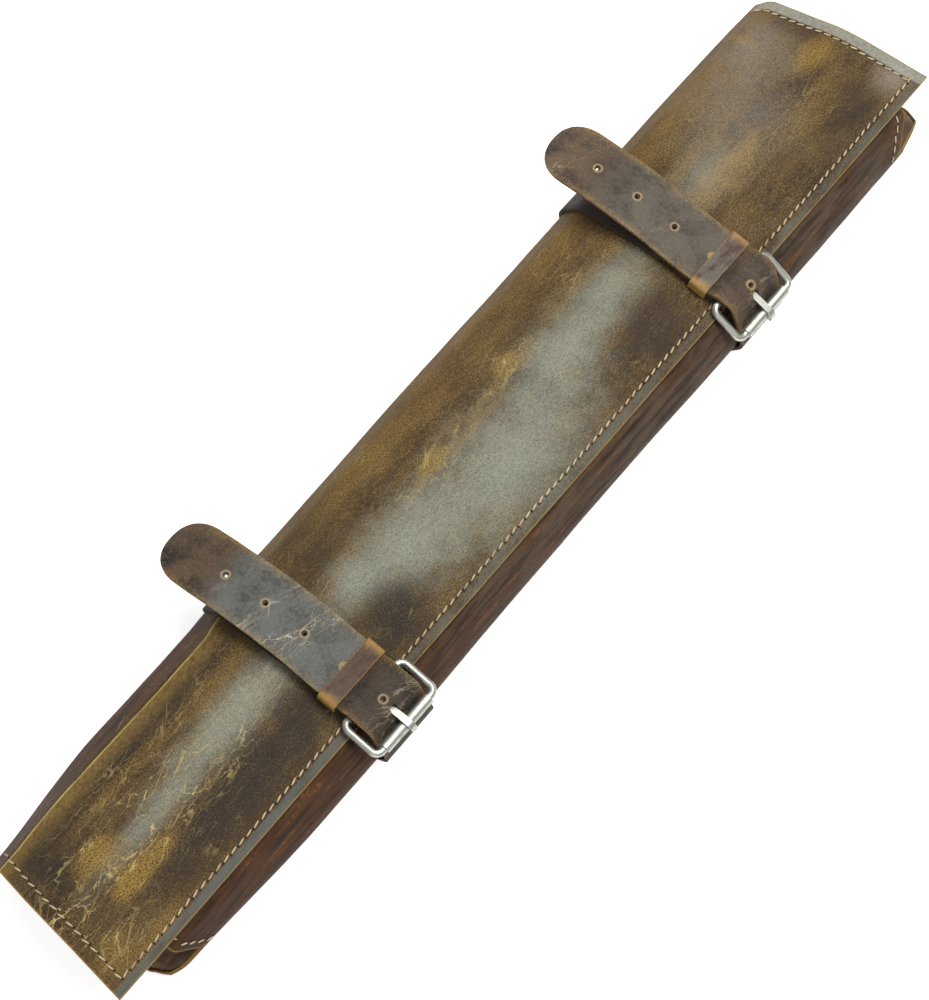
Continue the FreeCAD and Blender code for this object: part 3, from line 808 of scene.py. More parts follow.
def sampled(corners: Sequence[Corner]) -> Line:
    """Sample straight runs joined by tangent arcs.

    Args:
        corners: the path's corners in order.

    Returns:
        The sampled line, with the same number of points whatever the radii.
    """
    places = [np.array((corner.y, corner.z)) for corner in corners]
    points: list[np.ndarray] = []
    headings: list[float] = []
    cursor = places[0]
    for index in range(1, len(corners)):
        corner = corners[index]
        incoming = unit(places[index] - places[index - 1])
        angle_in = math.atan2(incoming[1], incoming[0])
        if index < len(corners) - 1:
            outgoing = unit(places[index + 1] - places[index])
            turn = math.atan2(incoming[0] * outgoing[1] - incoming[1] * outgoing[0],
                              float(incoming @ outgoing))
            start = places[index] - incoming * corner.radius * math.tan(abs(turn) / 2)
        else:
            turn = 0.0
            start = places[index]
        for step in range(corner.run_steps):
            points.append(cursor + (start - cursor) * step / corner.run_steps)
            headings.append(angle_in)
        if index == len(corners) - 1:
            points.append(start)
            headings.append(angle_in)
            break
        side = math.copysign(1.0, turn)
        centre = start + side * corner.radius * np.array((-incoming[1], incoming[0]))
        for step in range(corner.arc_steps):
            angle = angle_in + turn * step / corner.arc_steps
            spoke = np.array((math.sin(angle), -math.cos(angle)))
            points.append(centre + side * corner.radius * spoke)
            headings.append(angle)
        angle = angle_in + turn
        spoke = np.array((math.sin(angle), -math.cos(angle)))
        cursor = centre + side * corner.radius * spoke
    line = np.array(points)
    normals = np.stack([-np.sin(headings), np.cos(headings)], axis=1)
    steps = np.linalg.norm(np.diff(line, axis=0), axis=1)
    return Line(line, normals, np.concatenate(([0.0], np.cumsum(steps))))


def step(value: float | np.ndarray, low: float, high: float) -> float | np.ndarray:
    """Smooth step from 0 at low to 1 at high."""
    share = np.clip((np.asarray(value, float) - low) / (high - low), 0.0, 1.0)
    return share * share * (3 - 2 * share)


def wobble(x: float, y: float, size: float, seed: float) -> float:
    """Smooth random height from about -1 to 1, with features of a size in millimetres."""
    return noise.noise(Vector((x / size, y / size, seed))) * 1.7


# ---- meshes ---------------------------------------------------------------------------------
def new_object(name: str, mesh: bpy.types.ID) -> Piece:
    """Put a data-block into the scene.

    Args:
        name: its name.
        mesh: mesh, camera or lamp to show.

    Returns:
        The object, at the origin.
    """
    made = bpy.data.objects.new(name, mesh)
    bpy.context.scene.collection.objects.link(made)
    return made


def set_uv(mesh: bpy.types.Mesh, name: str, values: np.ndarray) -> None:
    """Write a UV map from one pair for each vertex.

    Args:
        mesh: mesh to write to.
        name: the map's name.
        values: pairs in millimetres.
    """
    layer = mesh.uv_layers.get(name) or mesh.uv_layers.new(name=name)
    loops = np.zeros(len(mesh.loops), np.int32)
    mesh.loops.foreach_get("vertex_index", loops)
    layer.data.foreach_set("uv", (values[loops] * MM).astype(np.float32).ravel())


def sheet_mesh(name: str, outer: np.ndarray, inner: np.ndarray, maps: dict[str, np.ndarray],
               closed: bool = False) -> Piece:
    """Closed mesh of a sheet from the grids of its two faces.

    Args:
        name: the object's name.
        outer: grid of points (rows, columns, 3) of the outer face, in millimetres.
        inner: the same for the inner face.
        maps: UV pairs (rows, columns, 2) by map name, in millimetres.
        closed: whether the rows run round and meet.

    Returns:
        The object; its rim faces use its second material.
    """
    rows, columns = outer.shape[:2]
    count = rows * columns
    index = np.arange(count).reshape(rows, columns)
    after = np.roll(index, -1, axis=0) if closed else index[1:]
    before = index if closed else index[:-1]
    quads = np.stack([before[:, :-1], after[:, :-1], after[:, 1:], before[:, 1:]],
                     axis=-1).reshape(-1, 4)
    faces = [quads, quads[:, ::-1] + count]
    rims = []
    for edge, flip in ((index[:, 0], False), (index[:, -1], True)):
        ahead = np.roll(edge, -1) if closed else edge[1:]
        behind = edge if closed else edge[:-1]
        rim = np.stack([behind, behind + count, ahead + count, ahead], axis=-1)
        rims.append(rim[:, ::-1] if flip else rim)
    if not closed:
        for edge, flip in ((index[0], True), (index[-1], False)):
            rim = np.stack([edge[:-1], edge[:-1] + count, edge[1:] + count, edge[1:]], axis=-1)
            rims.append(rim[:, ::-1] if flip else rim)
    rim_faces = np.concatenate(rims)
    every = np.concatenate(faces + [rim_faces])
    mesh = bpy.data.meshes.new(name)
    points = np.concatenate([outer.reshape(-1, 3), inner.reshape(-1, 3)]) * MM
    mesh.from_pydata(points.tolist(), [], every.tolist())
    kinds = np.concatenate([np.zeros(2 * len(quads), np.int32), np.ones(len(rim_faces), np.int32)])
    for label, values in maps.items():
        set_uv(mesh, label, np.concatenate([values.reshape(-1, 2)] * 2))
    mesh.materials.append(None)
    mesh.materials.append(None)
    mesh.polygons.foreach_set("material_index", kinds)
    mesh.polygons.foreach_set("use_smooth", np.ones(len(every), bool))
    mesh.update()
    return outward(new_object(name, mesh))


def outward(piece: Piece) -> Piece:
    """Turn a closed mesh's faces outwards, if its volume says that they point inwards.

    Args:
        piece: closed mesh.

    Returns:
        The same object.
    """
    shape = bmesh.new()
    shape.from_mesh(piece.data)
    if shape.calc_volume(signed=True) < 0:
        bmesh.ops.reverse_faces(shape, faces=shape.faces[:])
        shape.to_mesh(piece.data)
    shape.free()
    return piece


def settled(piece: Piece) -> Piece:
    """Apply every modifier of a piece to its mesh.

    Args:
        piece: mesh object.

    Returns:
        The same object, without modifiers.
    """
    bpy.context.view_layer.update()
    graph = bpy.context.evaluated_depsgraph_get()
    final = bpy.data.meshes.new_from_object(piece.evaluated_get(graph),
                                            preserve_all_data_layers=True,
                                            depsgraph=graph)
    piece.modifiers.clear()
    old = piece.data
    piece.data = final
    bpy.data.meshes.remove(old)
    return piece


def softened(piece: Piece, width: float, segments: int = 2, angle: float = 50.0) -> Piece:
    """Round a piece's sharp edges.

    Args:
        piece: mesh object.
        width: width of the rounding in millimetres.
        segments: faces across it.
        angle: smallest turn in degrees that counts as sharp.

    Returns:
        The same object, with its mesh final.
    """
    bevel = piece.modifiers.new("soft_edges", "BEVEL")
    bevel.width = width * MM
    bevel.segments = segments
    bevel.limit_method = "ANGLE"
    bevel.angle_limit = math.radians(angle)
    bevel.use_clamp_overlap = True
    bevel.harden_normals = False
    return settled(piece)


def dressed(piece: Piece, *materials: Material) -> Piece:
    """Give a piece its materials in order.

    Args:
        piece: mesh object.
        materials: its materials, the main one first.

    Returns:
        The same object.
    """
    piece.data.materials.clear()
    for material in materials:
        piece.data.materials.append(material)
    return piece


# ---- stitches -------------------------------------------------------------------------------
@dataclass
class StitchRow:
    """Row of lock stitches along a line of points on a surface, made by Geometry Nodes."""
    pitch: float = 7.0
    width: float = 1.25
    height: float = 0.85
    slant: float = 13.0
    hole: float = 1.7
    seed: int = 4

    def tree(self, thread: Material, dark: Material) -> bpy.types.GeometryNodeTree:
        """Build the node tree.

        Args:
            thread: material of the stitches.
            dark: material of the needle holes' painted shade.

        Returns:
            The tree, with its sizes as named inputs.
        """
        group = bpy.data.node_groups.new("stitch_row", "GeometryNodeTree")
        face = group.interface
        face.new_socket("Geometry", in_out="INPUT", socket_type="NodeSocketGeometry")
        for label in ("Pitch", "Width", "Height", "Slant", "Hole"):
            face.new_socket(label, in_out="INPUT", socket_type="NodeSocketFloat")
        face.new_socket("Seed", in_out="INPUT", socket_type="NodeSocketInt")
        face.new_socket("Geometry", in_out="OUTPUT", socket_type="NodeSocketGeometry")

        def add(kind: str, values: dict | None = None, out: int = 0,
                **settings: object) -> bpy.types.NodeSocket:
            """One node with its settings and its inputs.

            Args:
                kind: the node's type.
                values: numbers or sockets for its inputs.
                out: which output to return.
                settings: its other settings.

            Returns:
                The chosen output.
            """
            made = group.nodes.new(kind)
            for key, value in settings.items():
                setattr(made, key, value)
            for key, value in (values or {}).items():
                if isinstance(value, bpy.types.NodeSocket):
                    group.links.new(value, made.inputs[key])
                else:
                    made.inputs[key].default_value = value
            return made.outputs[out]

        given = group.nodes.new("NodeGroupInput").outputs
        curve = add("GeometryNodeMeshToCurve", {0: given["Geometry"]})
        even = add("GeometryNodeResampleCurve", {"Curve": curve, "Length": given["Pitch"]},
                   mode="LENGTH")
        normal = add("GeometryNodeInputNamedAttribute", {"Name": "seam_normal"},
                     data_type="FLOAT_VECTOR")
        tangent = add("GeometryNodeInputTangent")
        first = add("FunctionNodeAlignRotationToVector", {"Vector": normal}, axis="Z")
        turned = add("FunctionNodeAlignRotationToVector",
                     {"Rotation": first, "Vector": tangent}, axis="X", pivot_axis="Z")
        jitter = add("FunctionNodeRandomValue",
                     {2: -LEAN_SPREAD, 3: LEAN_SPREAD, "Seed": given["Seed"]},
                     out=1, data_type="FLOAT")
        lean = add("ShaderNodeMath", {0: given["Slant"], 1: jitter}, operation="ADD")
        spin = add("ShaderNodeCombineXYZ", {"Z": lean})
        rotated = add("FunctionNodeRotateRotation",
                      {"Rotation": turned, "Rotate By": spin}, rotation_space="LOCAL")
        half = add("ShaderNodeMath", {0: given["Pitch"], 1: THREAD_HALF}, operation="MULTIPLY")
        middle = add("ShaderNodeMath", {0: given["Pitch"], 1: 0.5}, operation="MULTIPLY")
        size = add("ShaderNodeCombineXYZ", {0: half, 1: given["Width"], 2: given["Height"]})
        ball = add("GeometryNodeMeshUVSphere", {"Segments": 10, "Rings": 6, "Radius": 1.0})
        body = add("GeometryNodeTransform", {"Geometry": ball, "Scale": size})
        shift = add("ShaderNodeCombineXYZ", {0: middle, 2: given["Height"]})
        moved = add("GeometryNodeTransform", {"Geometry": body, "Translation": shift})
        loops = add("GeometryNodeInstanceOnPoints", {"Points": even, "Instance": moved,
                                                      "Rotation": rotated})
        # Needle holes: flattened dark discs of painted shade at each stitch's end.
        disc = add("GeometryNodeMeshUVSphere", {"Segments": 8, "Rings": 4, "Radius": 1.0})
        flat = add("ShaderNodeCombineXYZ", {0: given["Hole"], 1: given["Hole"], 2: HOLE_DEPTH * MM})
        pressed = add("GeometryNodeTransform", {"Geometry": disc, "Scale": flat})
        holes = add("GeometryNodeInstanceOnPoints", {"Points": even, "Instance": pressed,
                                                      "Rotation": turned})
        real = [add("GeometryNodeRealizeInstances", {0: part}) for part in (loops, holes)]
        drawn = [add("GeometryNodeSetMaterial", {"Geometry": part, "Material": look})
                 for part, look in zip(real, (thread, dark))]
        joined = add("GeometryNodeJoinGeometry")
        for part in drawn:
            group.links.new(part, joined.node.inputs[0])
        smooth = add("GeometryNodeSetShadeSmooth", {"Geometry": joined})
        end = group.nodes.new("NodeGroupOutput")
        group.links.new(smooth, end.inputs[0])
        return group

    def build(self, name: str, lines: Iterable[Grids], thread: Material,
              dark: Material) -> Piece:
        """Stitch along lines.

        Args:
            name: the object's name.
            lines: for each seam, its points and the surface's normals there, in millimetres.
            thread: material of the stitches.
            dark: material of the needle holes' painted shade.

        Returns:
            Plain mesh of the stitches and of the needle holes' dark discs of painted shade.
        """
        points, normals, edges = [], [], []
        for line, across in lines:
            start = len(points)
            points += (line * MM).tolist()
            normals += across.tolist()
            edges += [(start + index, start + index + 1) for index in range(len(line) - 1)]
        mesh = bpy.data.meshes.new(name)
        mesh.from_pydata(points, edges, [])
        stored = mesh.attributes.new("seam_normal", "FLOAT_VECTOR", "POINT")
        stored.data.foreach_set("vector", np.array(normals, np.float32).ravel())
        piece = new_object(name, mesh)
        modifier = piece.modifiers.new("stitches", "NODES")
        modifier.node_group = self.tree(thread, dark)
        sizes = {"Pitch": self.pitch * MM, "Width": self.width * MM / 2,
                 "Height": self.height * MM / 2,
                 "Slant": math.radians(self.slant), "Hole": self.hole * MM / 2, "Seed": self.seed}
        for item in modifier.node_group.interface.items_tree:
            if item.in_out == "INPUT" and item.name in sizes:
                modifier[item.identifier] = sizes[item.name]
        return settled(piece)


# ---- the rolled case ------------------------------------------------------------------------
@dataclass(frozen=True)
class Dent:
    """Soft hump or hollow of the hide: its centre, half sizes and height."""
    along: float
    across: float
    half_along: float
    half_across: float
    height: float


@dataclass
class Roll:
    """Shell of the case: cover, fold, bottom, buckle-side wall and the tucked inner panel."""
    centre_y: float
    belts: Pair
    half_length: float = 418.5
    leather: float = 2.6
    lining: float = 0.8
    near_skew: float = 11.0
    far_skew: float = 18.0
    near_more: float = 1.5
    far_more: float = 2.0
    fold_reach: float = 79.5
    edge: Pair = (-57.5, 51.6)
    crown: Pair = (8.0, 58.8)
    near_inset: float = 41.0
    far_inset: float = 30.0
    stations: int = 141
    columns: int = 190
    dents: tuple[Dent, ...] = (
        Dent(-391, 88, 16, 26, -1.6), Dent(-362, 68, 18, 12, 1.1), Dent(-345, 42, 26, 10, 1.3),
        Dent(-372, 30, 20, 12, -1.0), Dent(56, 88, 16, 9, 1.2), Dent(44, 76, 30, 5, -0.8),
        Dent(-31, 82, 14, 7, 0.9), Dent(-14, 73, 30, 5, -0.6), Dent(382, 72, 18, 14, 1.0),
        Dent(366, 122, 6, 20, -1.0), Dent(377, 118, 6, 18, 0.8), Dent(-300, 63, 60, 7, 0.7),
        Dent(-290, 40, 60, 10, -0.7), Dent(396, 30, 16, 20, -1.0), Dent(-402, 18, 10, 20, 0.9))
    slack: tuple[Triple, ...] = (
        (0.75, 80.0, 1.0), (0.28, 22.0, 5.0), (0.08, 7.0, 8.0))
    body: np.ndarray = field(init=False)
    normal: np.ndarray = field(init=False)
    lengths: np.ndarray = field(init=False)
    marks: list[float] = field(init=False)
    xs: np.ndarray = field(init=False)

    def __post_init__(self) -> None:
        """Sample the section at every station along the case."""
        self.xs = np.linspace(-self.half_length, self.half_length, self.stations)
        lines = [sampled(self.corners(x)) for x in self.xs]
        self.body = np.array([line.points for line in lines])
        self.normal = np.array([line.normals for line in lines])
        middle = lines[self.stations // 2]
        self.lengths = middle.lengths
        places = np.array([(corner.y, corner.z) for corner in self.corners(0.0)])
        gaps = np.linalg.norm(middle.points[None] - places[:, None], axis=2)
        self.marks = [float(self.lengths[index]) for index in gaps.argmin(axis=1)]

    def corners(self, x: float) -> list[Corner]:
        """Corners of the section at one place along the case.

        Args:
            x: place along the case.

        Returns:
            Corners from the cover's free edge to the inner panel's tucked end.
        """
        near = float(step(-x, 350.0, 415.0))
        slim = float(step(-x, 300.0, 410.0))
        far = float(step(x, 350.0, 415.0))
        soft = float(step(x, -150.0, -105.0) * (1 - 0.6 * step(x, 140.0, 172.0)))
        crisp = float(step(-x, 201.0, 219.0))
        round_crease = 8.0 + 15.0 * soft - 4.8 * crisp
        swell = 3.2 * float(step(x, -150.0, 20.0)) + 2.8 * float(step(x, 60.0, 330.0)) - 1.5 * far
        waist = 2.0 * float(step(x, -140.0, -60.0) * step(x, 165.0, 90.0))
        wave = 0.5 * wobble(x, 0.0, 70.0, 9.0) * self.calm(x)
        return [
            Corner(self.edge[0], self.edge[1] + wave + 0.8 * near),
            Corner(self.crown[0], self.crown[1] - 1.6 * near, 120.0, 10, 22),
            Corner(63.0 - 1.5 * near - 4.5 * crisp + swell, 46.0 - 5.0 * near + 1.4 * crisp,
                   round_crease, 12, 20),
            Corner(79.5 - 11.0 * slim + swell, 24.8 - 1.5 * near, 16.0, 10, 8),
            Corner(66.0 - 1.0 * slim + 0.7 * swell, 4.2, 12.0, 8, 6),
            Corner(-64.0, 4.2, 14.0, 8, 34),
            Corner(-76.0 + 7.5 * float(step(-x, 255.0, 375.0)) + waist, 24.8, 18.0, 10, 6),
            Corner(-61.0, 47.5, 7.0, 8, 8),
            Corner(-9.3, 53.2, 0.0, 1, 16),
        ]

    def calm(self, x: float | np.ndarray) -> float | np.ndarray:
        """0 where a belt lies on the hide and 1 away from it."""
        first, second = (step(np.abs(np.asarray(x) - place), 36.0, 66.0) for place in self.belts)
        return first * second

    def ends(self, lengths: np.ndarray) -> Grids:
        """The case's two ends in X, for places over the hide.

        Args:
            lengths: distances from the free edge over the hide.

        Returns:
            X of the near end and of the far end for each.
        """
        middle = self.body[self.stations // 2]
        y = np.interp(lengths, self.lengths, middle[:, 0])
        lean = np.clip(y - self.edge[0], 0.0, None) / (self.fold_reach - self.edge[0])
        foot, wall, shoulder = self.marks[5], self.marks[6], self.marks[7]
        keys = [self.marks[4] + 20, foot - 12, foot, foot + 8, wall, wall + 12, shoulder,
                shoulder + 10]
        near = np.interp(lengths, keys, [0, 24, 32, 46, 60, 52, 42, self.near_inset])
        far = np.interp(lengths, keys, [0, 1, 6, 26, 52, 42, 31, self.far_inset])
        return (-self.half_length - self.near_more + self.near_skew * lean + near,
                self.half_length + self.far_more - self.far_skew * lean - far)

    def face(self, x: np.ndarray, lengths: np.ndarray, gap: float) -> Grids:
        """Points of the hide or of a sheet beside it.

        Args:
            x: places along the case.
            lengths: distances from the free edge over the hide.
            gap: distance outwards from the leather's middle.

        Returns:
            Points in the frame, and the surface's normals there.
        """
        x, lengths = np.broadcast_arrays(np.asarray(x, float), np.asarray(lengths, float))
        flat_x, flat_s = x.ravel(), lengths.ravel()
        share = (flat_x + self.half_length) / (2 * self.half_length)
        station = np.clip(share * (self.stations - 1), 0, self.stations - 1.001)
        count = len(self.lengths)
        row = np.clip(np.interp(flat_s, self.lengths, np.arange(count)), 0, count - 1.001)
        k, i = station.astype(int), row.astype(int)
        u, v = (station - k)[:, None], (row - i)[:, None]

        def mixed(table: np.ndarray) -> np.ndarray:
            """Value between four neighbours of a table.

            Args:
                table: values at the stations and rows.

            Returns:
                The value at each place.
            """
            first = table[k, i] * (1 - v) + table[k, i + 1] * v
            second = table[k + 1, i] * (1 - v) + table[k + 1, i + 1] * v
            return first * (1 - u) + second * u

        normals = mixed(self.normal)
        normals /= np.linalg.norm(normals, axis=1, keepdims=True)
        lift = np.array([self.relief(a, b) for a, b in zip(flat_x, flat_s)]) * self.calm(flat_x)
        points = mixed(self.body) + normals * (gap + lift)[:, None]
        placed = np.stack([flat_x, points[:, 0] + self.centre_y, points[:, 1]], axis=1)
        turned = np.stack([np.zeros(len(flat_x)), normals[:, 0], normals[:, 1]], axis=1)
        return placed.reshape(*x.shape, 3), turned.reshape(*x.shape, 3)

    def relief(self, x: float, s: float) -> float:
        """Height of the hide's slack and dents at one place.

        Args:
            x: place along the case.
            s: distance from the free edge over the hide.

        Returns:
            The height.
        """
        lift = sum(height * wobble(x, s, size, seed) for height, size, seed in self.slack)
        for dent in self.dents:
            reach = (((x - dent.along) / dent.half_along) ** 2
                     + ((s - dent.across) / dent.half_across) ** 2)
            if reach < 9:
                lift += dent.height * math.exp(-reach)
        return (lift - 0.25) * (1.0 - 0.65 * float(step(s, 126.0, 140.0)))

    def sheet(self, name: str, low: float, high: float, inset: float) -> Piece:
        """One of the case's sheets.

        Args:
            name: the object's name.
            low: its inner face, outwards from the leather's middle.
            high: its outer face.
            inset: how far its edges are held back from the hide's.

        Returns:
            The closed mesh, with its maps.
        """
        total = self.lengths[-1]
        kept = (self.lengths > inset + 0.3) & (self.lengths < total - inset - 0.3)
        rows = np.concatenate(([inset], self.lengths[kept], [total - inset]))
        near, far = self.ends(rows)
        share = np.linspace(0.0, 1.0, self.columns)[None]
        x = (near + inset)[:, None] * (1 - share) + (far - inset)[:, None] * share
        lengths = np.repeat(rows[:, None], self.columns, axis=1)
        outer = self.face(x, lengths, high)[0]
        inner = self.face(x, lengths, low)[0]
        to_end = np.minimum(x - near[:, None], far[:, None] - x)
        maps = {HIDE_MAP: np.stack([x, lengths], axis=2),
                RIM_MAP: np.stack([to_end, lengths], axis=2)}
        return sheet_mesh(name, outer, inner, maps)

    def cut_size(self, inset: float) -> tuple[Pair, float]:
        """Size that a sheet of the roll was cut to.

        Args:
            inset: how far its edges are held back from the hide's.

        Returns:
            Its width and length in metres, and its area in square metres.
        """
        rows = np.linspace(inset, float(self.lengths[-1]) - inset, 200)
        near, far = self.ends(rows)
        spans = far - near - 2 * inset
        width, length = float(rows[-1] - rows[0]), float(spans.max())
        return (width * MM, length * MM), width * float(spans.mean()) * MM * MM

    def seam(self, lengths: np.ndarray, x: np.ndarray) -> Grids:
        """Line of a seam on the outer face."""
        return self.face(x, lengths, self.leather / 2 + 0.05)


@dataclass
class CoverAssembly:
    """Shell, lining and the seams on them."""
    roll: Roll
    seam_inset: float = 7.5
    end_inset: float = 10.0
    panel_inset: float = 8.0
    lining_inset: float = 3.0

    def build(self, looks: Looks) -> list[Piece]:
        """Make the sheets and the seams.

        Args:
            looks: materials by name.

        Returns:
            The pieces made.
        """
        roll = self.roll
        shell = softened(roll.sheet("outer_hide", -roll.leather / 2, roll.leather / 2, 0.0), 0.45)
        dressed(shell, looks["cover"], looks["edge"])
        lining_low = -roll.leather / 2 - roll.lining
        suede = roll.sheet("suede_lining", lining_low, -roll.leather / 2 - 0.02, self.lining_inset)
        dressed(suede, looks["suede"], looks["suede"])
        made = [carried(shell, "case", "cover_leather", "outer_shell"),
                carried(suede, "case", "lining_suede", "shell_lining")]
        seams = self.seams(looks)
        hide_cut, hide_area = roll.cut_size(0.0)
        suede_cut, suede_area = roll.cut_size(self.lining_inset)
        LOG.info("hide cut %s m, suede cut %s m", hide_cut, suede_cut)
        return made + seams

    def seams(self, looks: Looks) -> list[Piece]:
        """Stitch the free edge, the ends and the inner panel's ends.

        Args:
            looks: materials by name.

        Returns:
            The three rows of stitches.
        """
        roll = self.roll
        near, far = roll.ends(np.array([self.seam_inset]))
        long_x = np.arange(near[0] + self.end_inset, far[0] - self.end_inset, 3.0)
        long_seam = roll.seam(np.full(len(long_x), self.seam_inset), long_x)
        up = np.arange(self.seam_inset, roll.marks[2] + 2.0, 2.0)
        near, far = roll.ends(up)
        end_seams = [roll.seam(up, near + self.end_inset), roll.seam(up, far - self.end_inset)]
        panel = np.arange(roll.marks[6] + 2.0, roll.lengths[-1] - 4.0, 2.0)
        near, far = roll.ends(panel)
        panel_seams = [roll.seam(panel, near + self.panel_inset),
                       roll.seam(panel, far - self.panel_inset)]
        thread, dark = looks["thread"], looks["needle_hole_shade"]
        row = StitchRow()
        edge = row.build("edge_stitches", [long_seam], thread, dark)
        ends = StitchRow(seed=7).build("end_stitches", end_seams, thread, dark)
        inner = StitchRow(seed=9).build("panel_stitches", panel_seams, thread, dark)
        return [carried(edge, "case", "thread", "cover_edge_seam"),
                carried(ends, "case", "thread", "cover_end_seams"),
                carried(inner, "case", "thread", "inner_panel_seams")]


@dataclass
class Pocket:
    """Suede sleeve for half a cue, with a hemmed mouth and a flat sewn foot."""
    node: str
    low: Triple
    high: Triple
    wall: float = 1.2
    hem: float = 9.0
    hem_extra: float = 0.6
    foot: float = 15.0
    taper: float = 34.0
    squareness: float = 5.0
    around: int = 56
    stations: int = 90

    def build(self, look: Material, thread: Material,
              dark: Material) -> list[Piece]:
        """Make the sleeve and the stitches of its hem.

        Args:
            look: suede material.
            thread: material of the stitches.
            dark: material of the needle holes' painted shade.

        Returns:
            The sleeve and its hem's stitches.
        """
        width, tall = self.high[1] - self.low[1], self.high[2] - self.low[2]
        x = np.concatenate([np.linspace(self.low[0], self.low[0] + self.foot + self.taper, 26)[:-1],
                            np.linspace(self.low[0] + self.foot + self.taper,
                                        self.high[0] - self.hem, 52)[:-1],
                            np.linspace(self.high[0] - self.hem, self.high[0], 12)])
        full = step(x, self.low[0] + self.foot - 4.0, self.low[0] + self.foot + self.taper)
        hem = step(x, self.high[0] - self.hem - 0.4, self.high[0] - self.hem + 0.4)
        angle = np.linspace(0, 2 * math.pi, self.around, endpoint=False)[:, None]
        cosine, sine = np.cos(angle), np.sin(angle)
        wide = np.sign(cosine) * np.abs(cosine) ** (2 / self.squareness)
        up = np.sign(sine) * np.abs(sine) ** (2 / self.squareness)

        def ring(shrink: np.ndarray) -> np.ndarray:
            """Grid of one face, held in from the sleeve's outside.

            Args:
                shrink: how far at each station.

            Returns:
                The grid of points.
            """
            half = (width - 10.0 * (1 - full)) / 2 - shrink
            inset = np.minimum(shrink, self.wall)
            rise = (2 * self.wall + 0.3 + (tall - 2 * self.wall - 0.7) * full) / 2 - inset
            middle = (self.low[1] + self.high[1]) / 2
            floor = self.low[2] + 0.1 + inset
            slack = 0.7 * full * np.array([wobble(place, middle, 60.0, 3.0) for place in x])
            y = middle + wide * half[None]
            bulge = np.clip(up, 0, 1) * np.minimum(slack, 0.2)[None]
            z = floor[None] + rise[None] * (1 + up) + bulge
            return np.stack([np.broadcast_to(x[None], y.shape), y, z], axis=2)

        outer = ring(np.full(len(x), 0.3) - 0.15 * hem)
        inner = ring(self.wall + self.hem_extra * hem)
        maps = {HIDE_MAP: np.stack([outer[..., 0], outer[..., 1] + outer[..., 2]], axis=2)}
        sleeve = sheet_mesh(self.node + "_sleeve", outer, inner, maps, closed=True)
        dressed(softened(sleeve, 0.3), look, look)
        place = self.high[0] - self.hem + 2.5
        column = int(np.abs(x - place).argmin())
        loop = np.concatenate([outer[2:self.around // 2 - 1, column]])
        across = np.stack([np.zeros(len(loop)), wide[2:self.around // 2 - 1, 0],
                           up[2:self.around // 2 - 1, 0]], 1)
        across /= np.linalg.norm(across, axis=1, keepdims=True)
        stitches = StitchRow(pitch=5.0, width=0.9, height=0.6, hole=0.7, seed=11).build(
            self.node + "_hem_stitches", [(loop, across)], thread, dark)
        made = [carried(sleeve, "case", "pocket_suede", self.node),
                carried(stitches, "case", "thread")]
        flat = (2 * (width + tall) * MM, (self.high[0] - self.low[0]) * MM)
        LOG.info("%s cut %s m", sleeve.name, flat)
        return made


def carried(piece: Piece, body: str, slot: str, *nodes: str) -> Piece:
    """Let a piece ride on a body and hide the CAD nodes that it stands for.

    Args:
        piece: visible piece.
        body: body that carries it.
        slot: the record's material slot; not used.
        nodes: CAD nodes that it replaces.

    Returns:
        The same piece.
    """
    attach(piece, body)
    if nodes:
        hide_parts(*nodes)
    LOG.info("%s rides on %s, %d faces", piece.name, body, len(piece.data.polygons))
    return piece


# ---- belts ----------------------------------------------------------------------------------
class Side(Enum):
    """The two belts of the case."""
    NEAR = "near"
    FAR = "far"


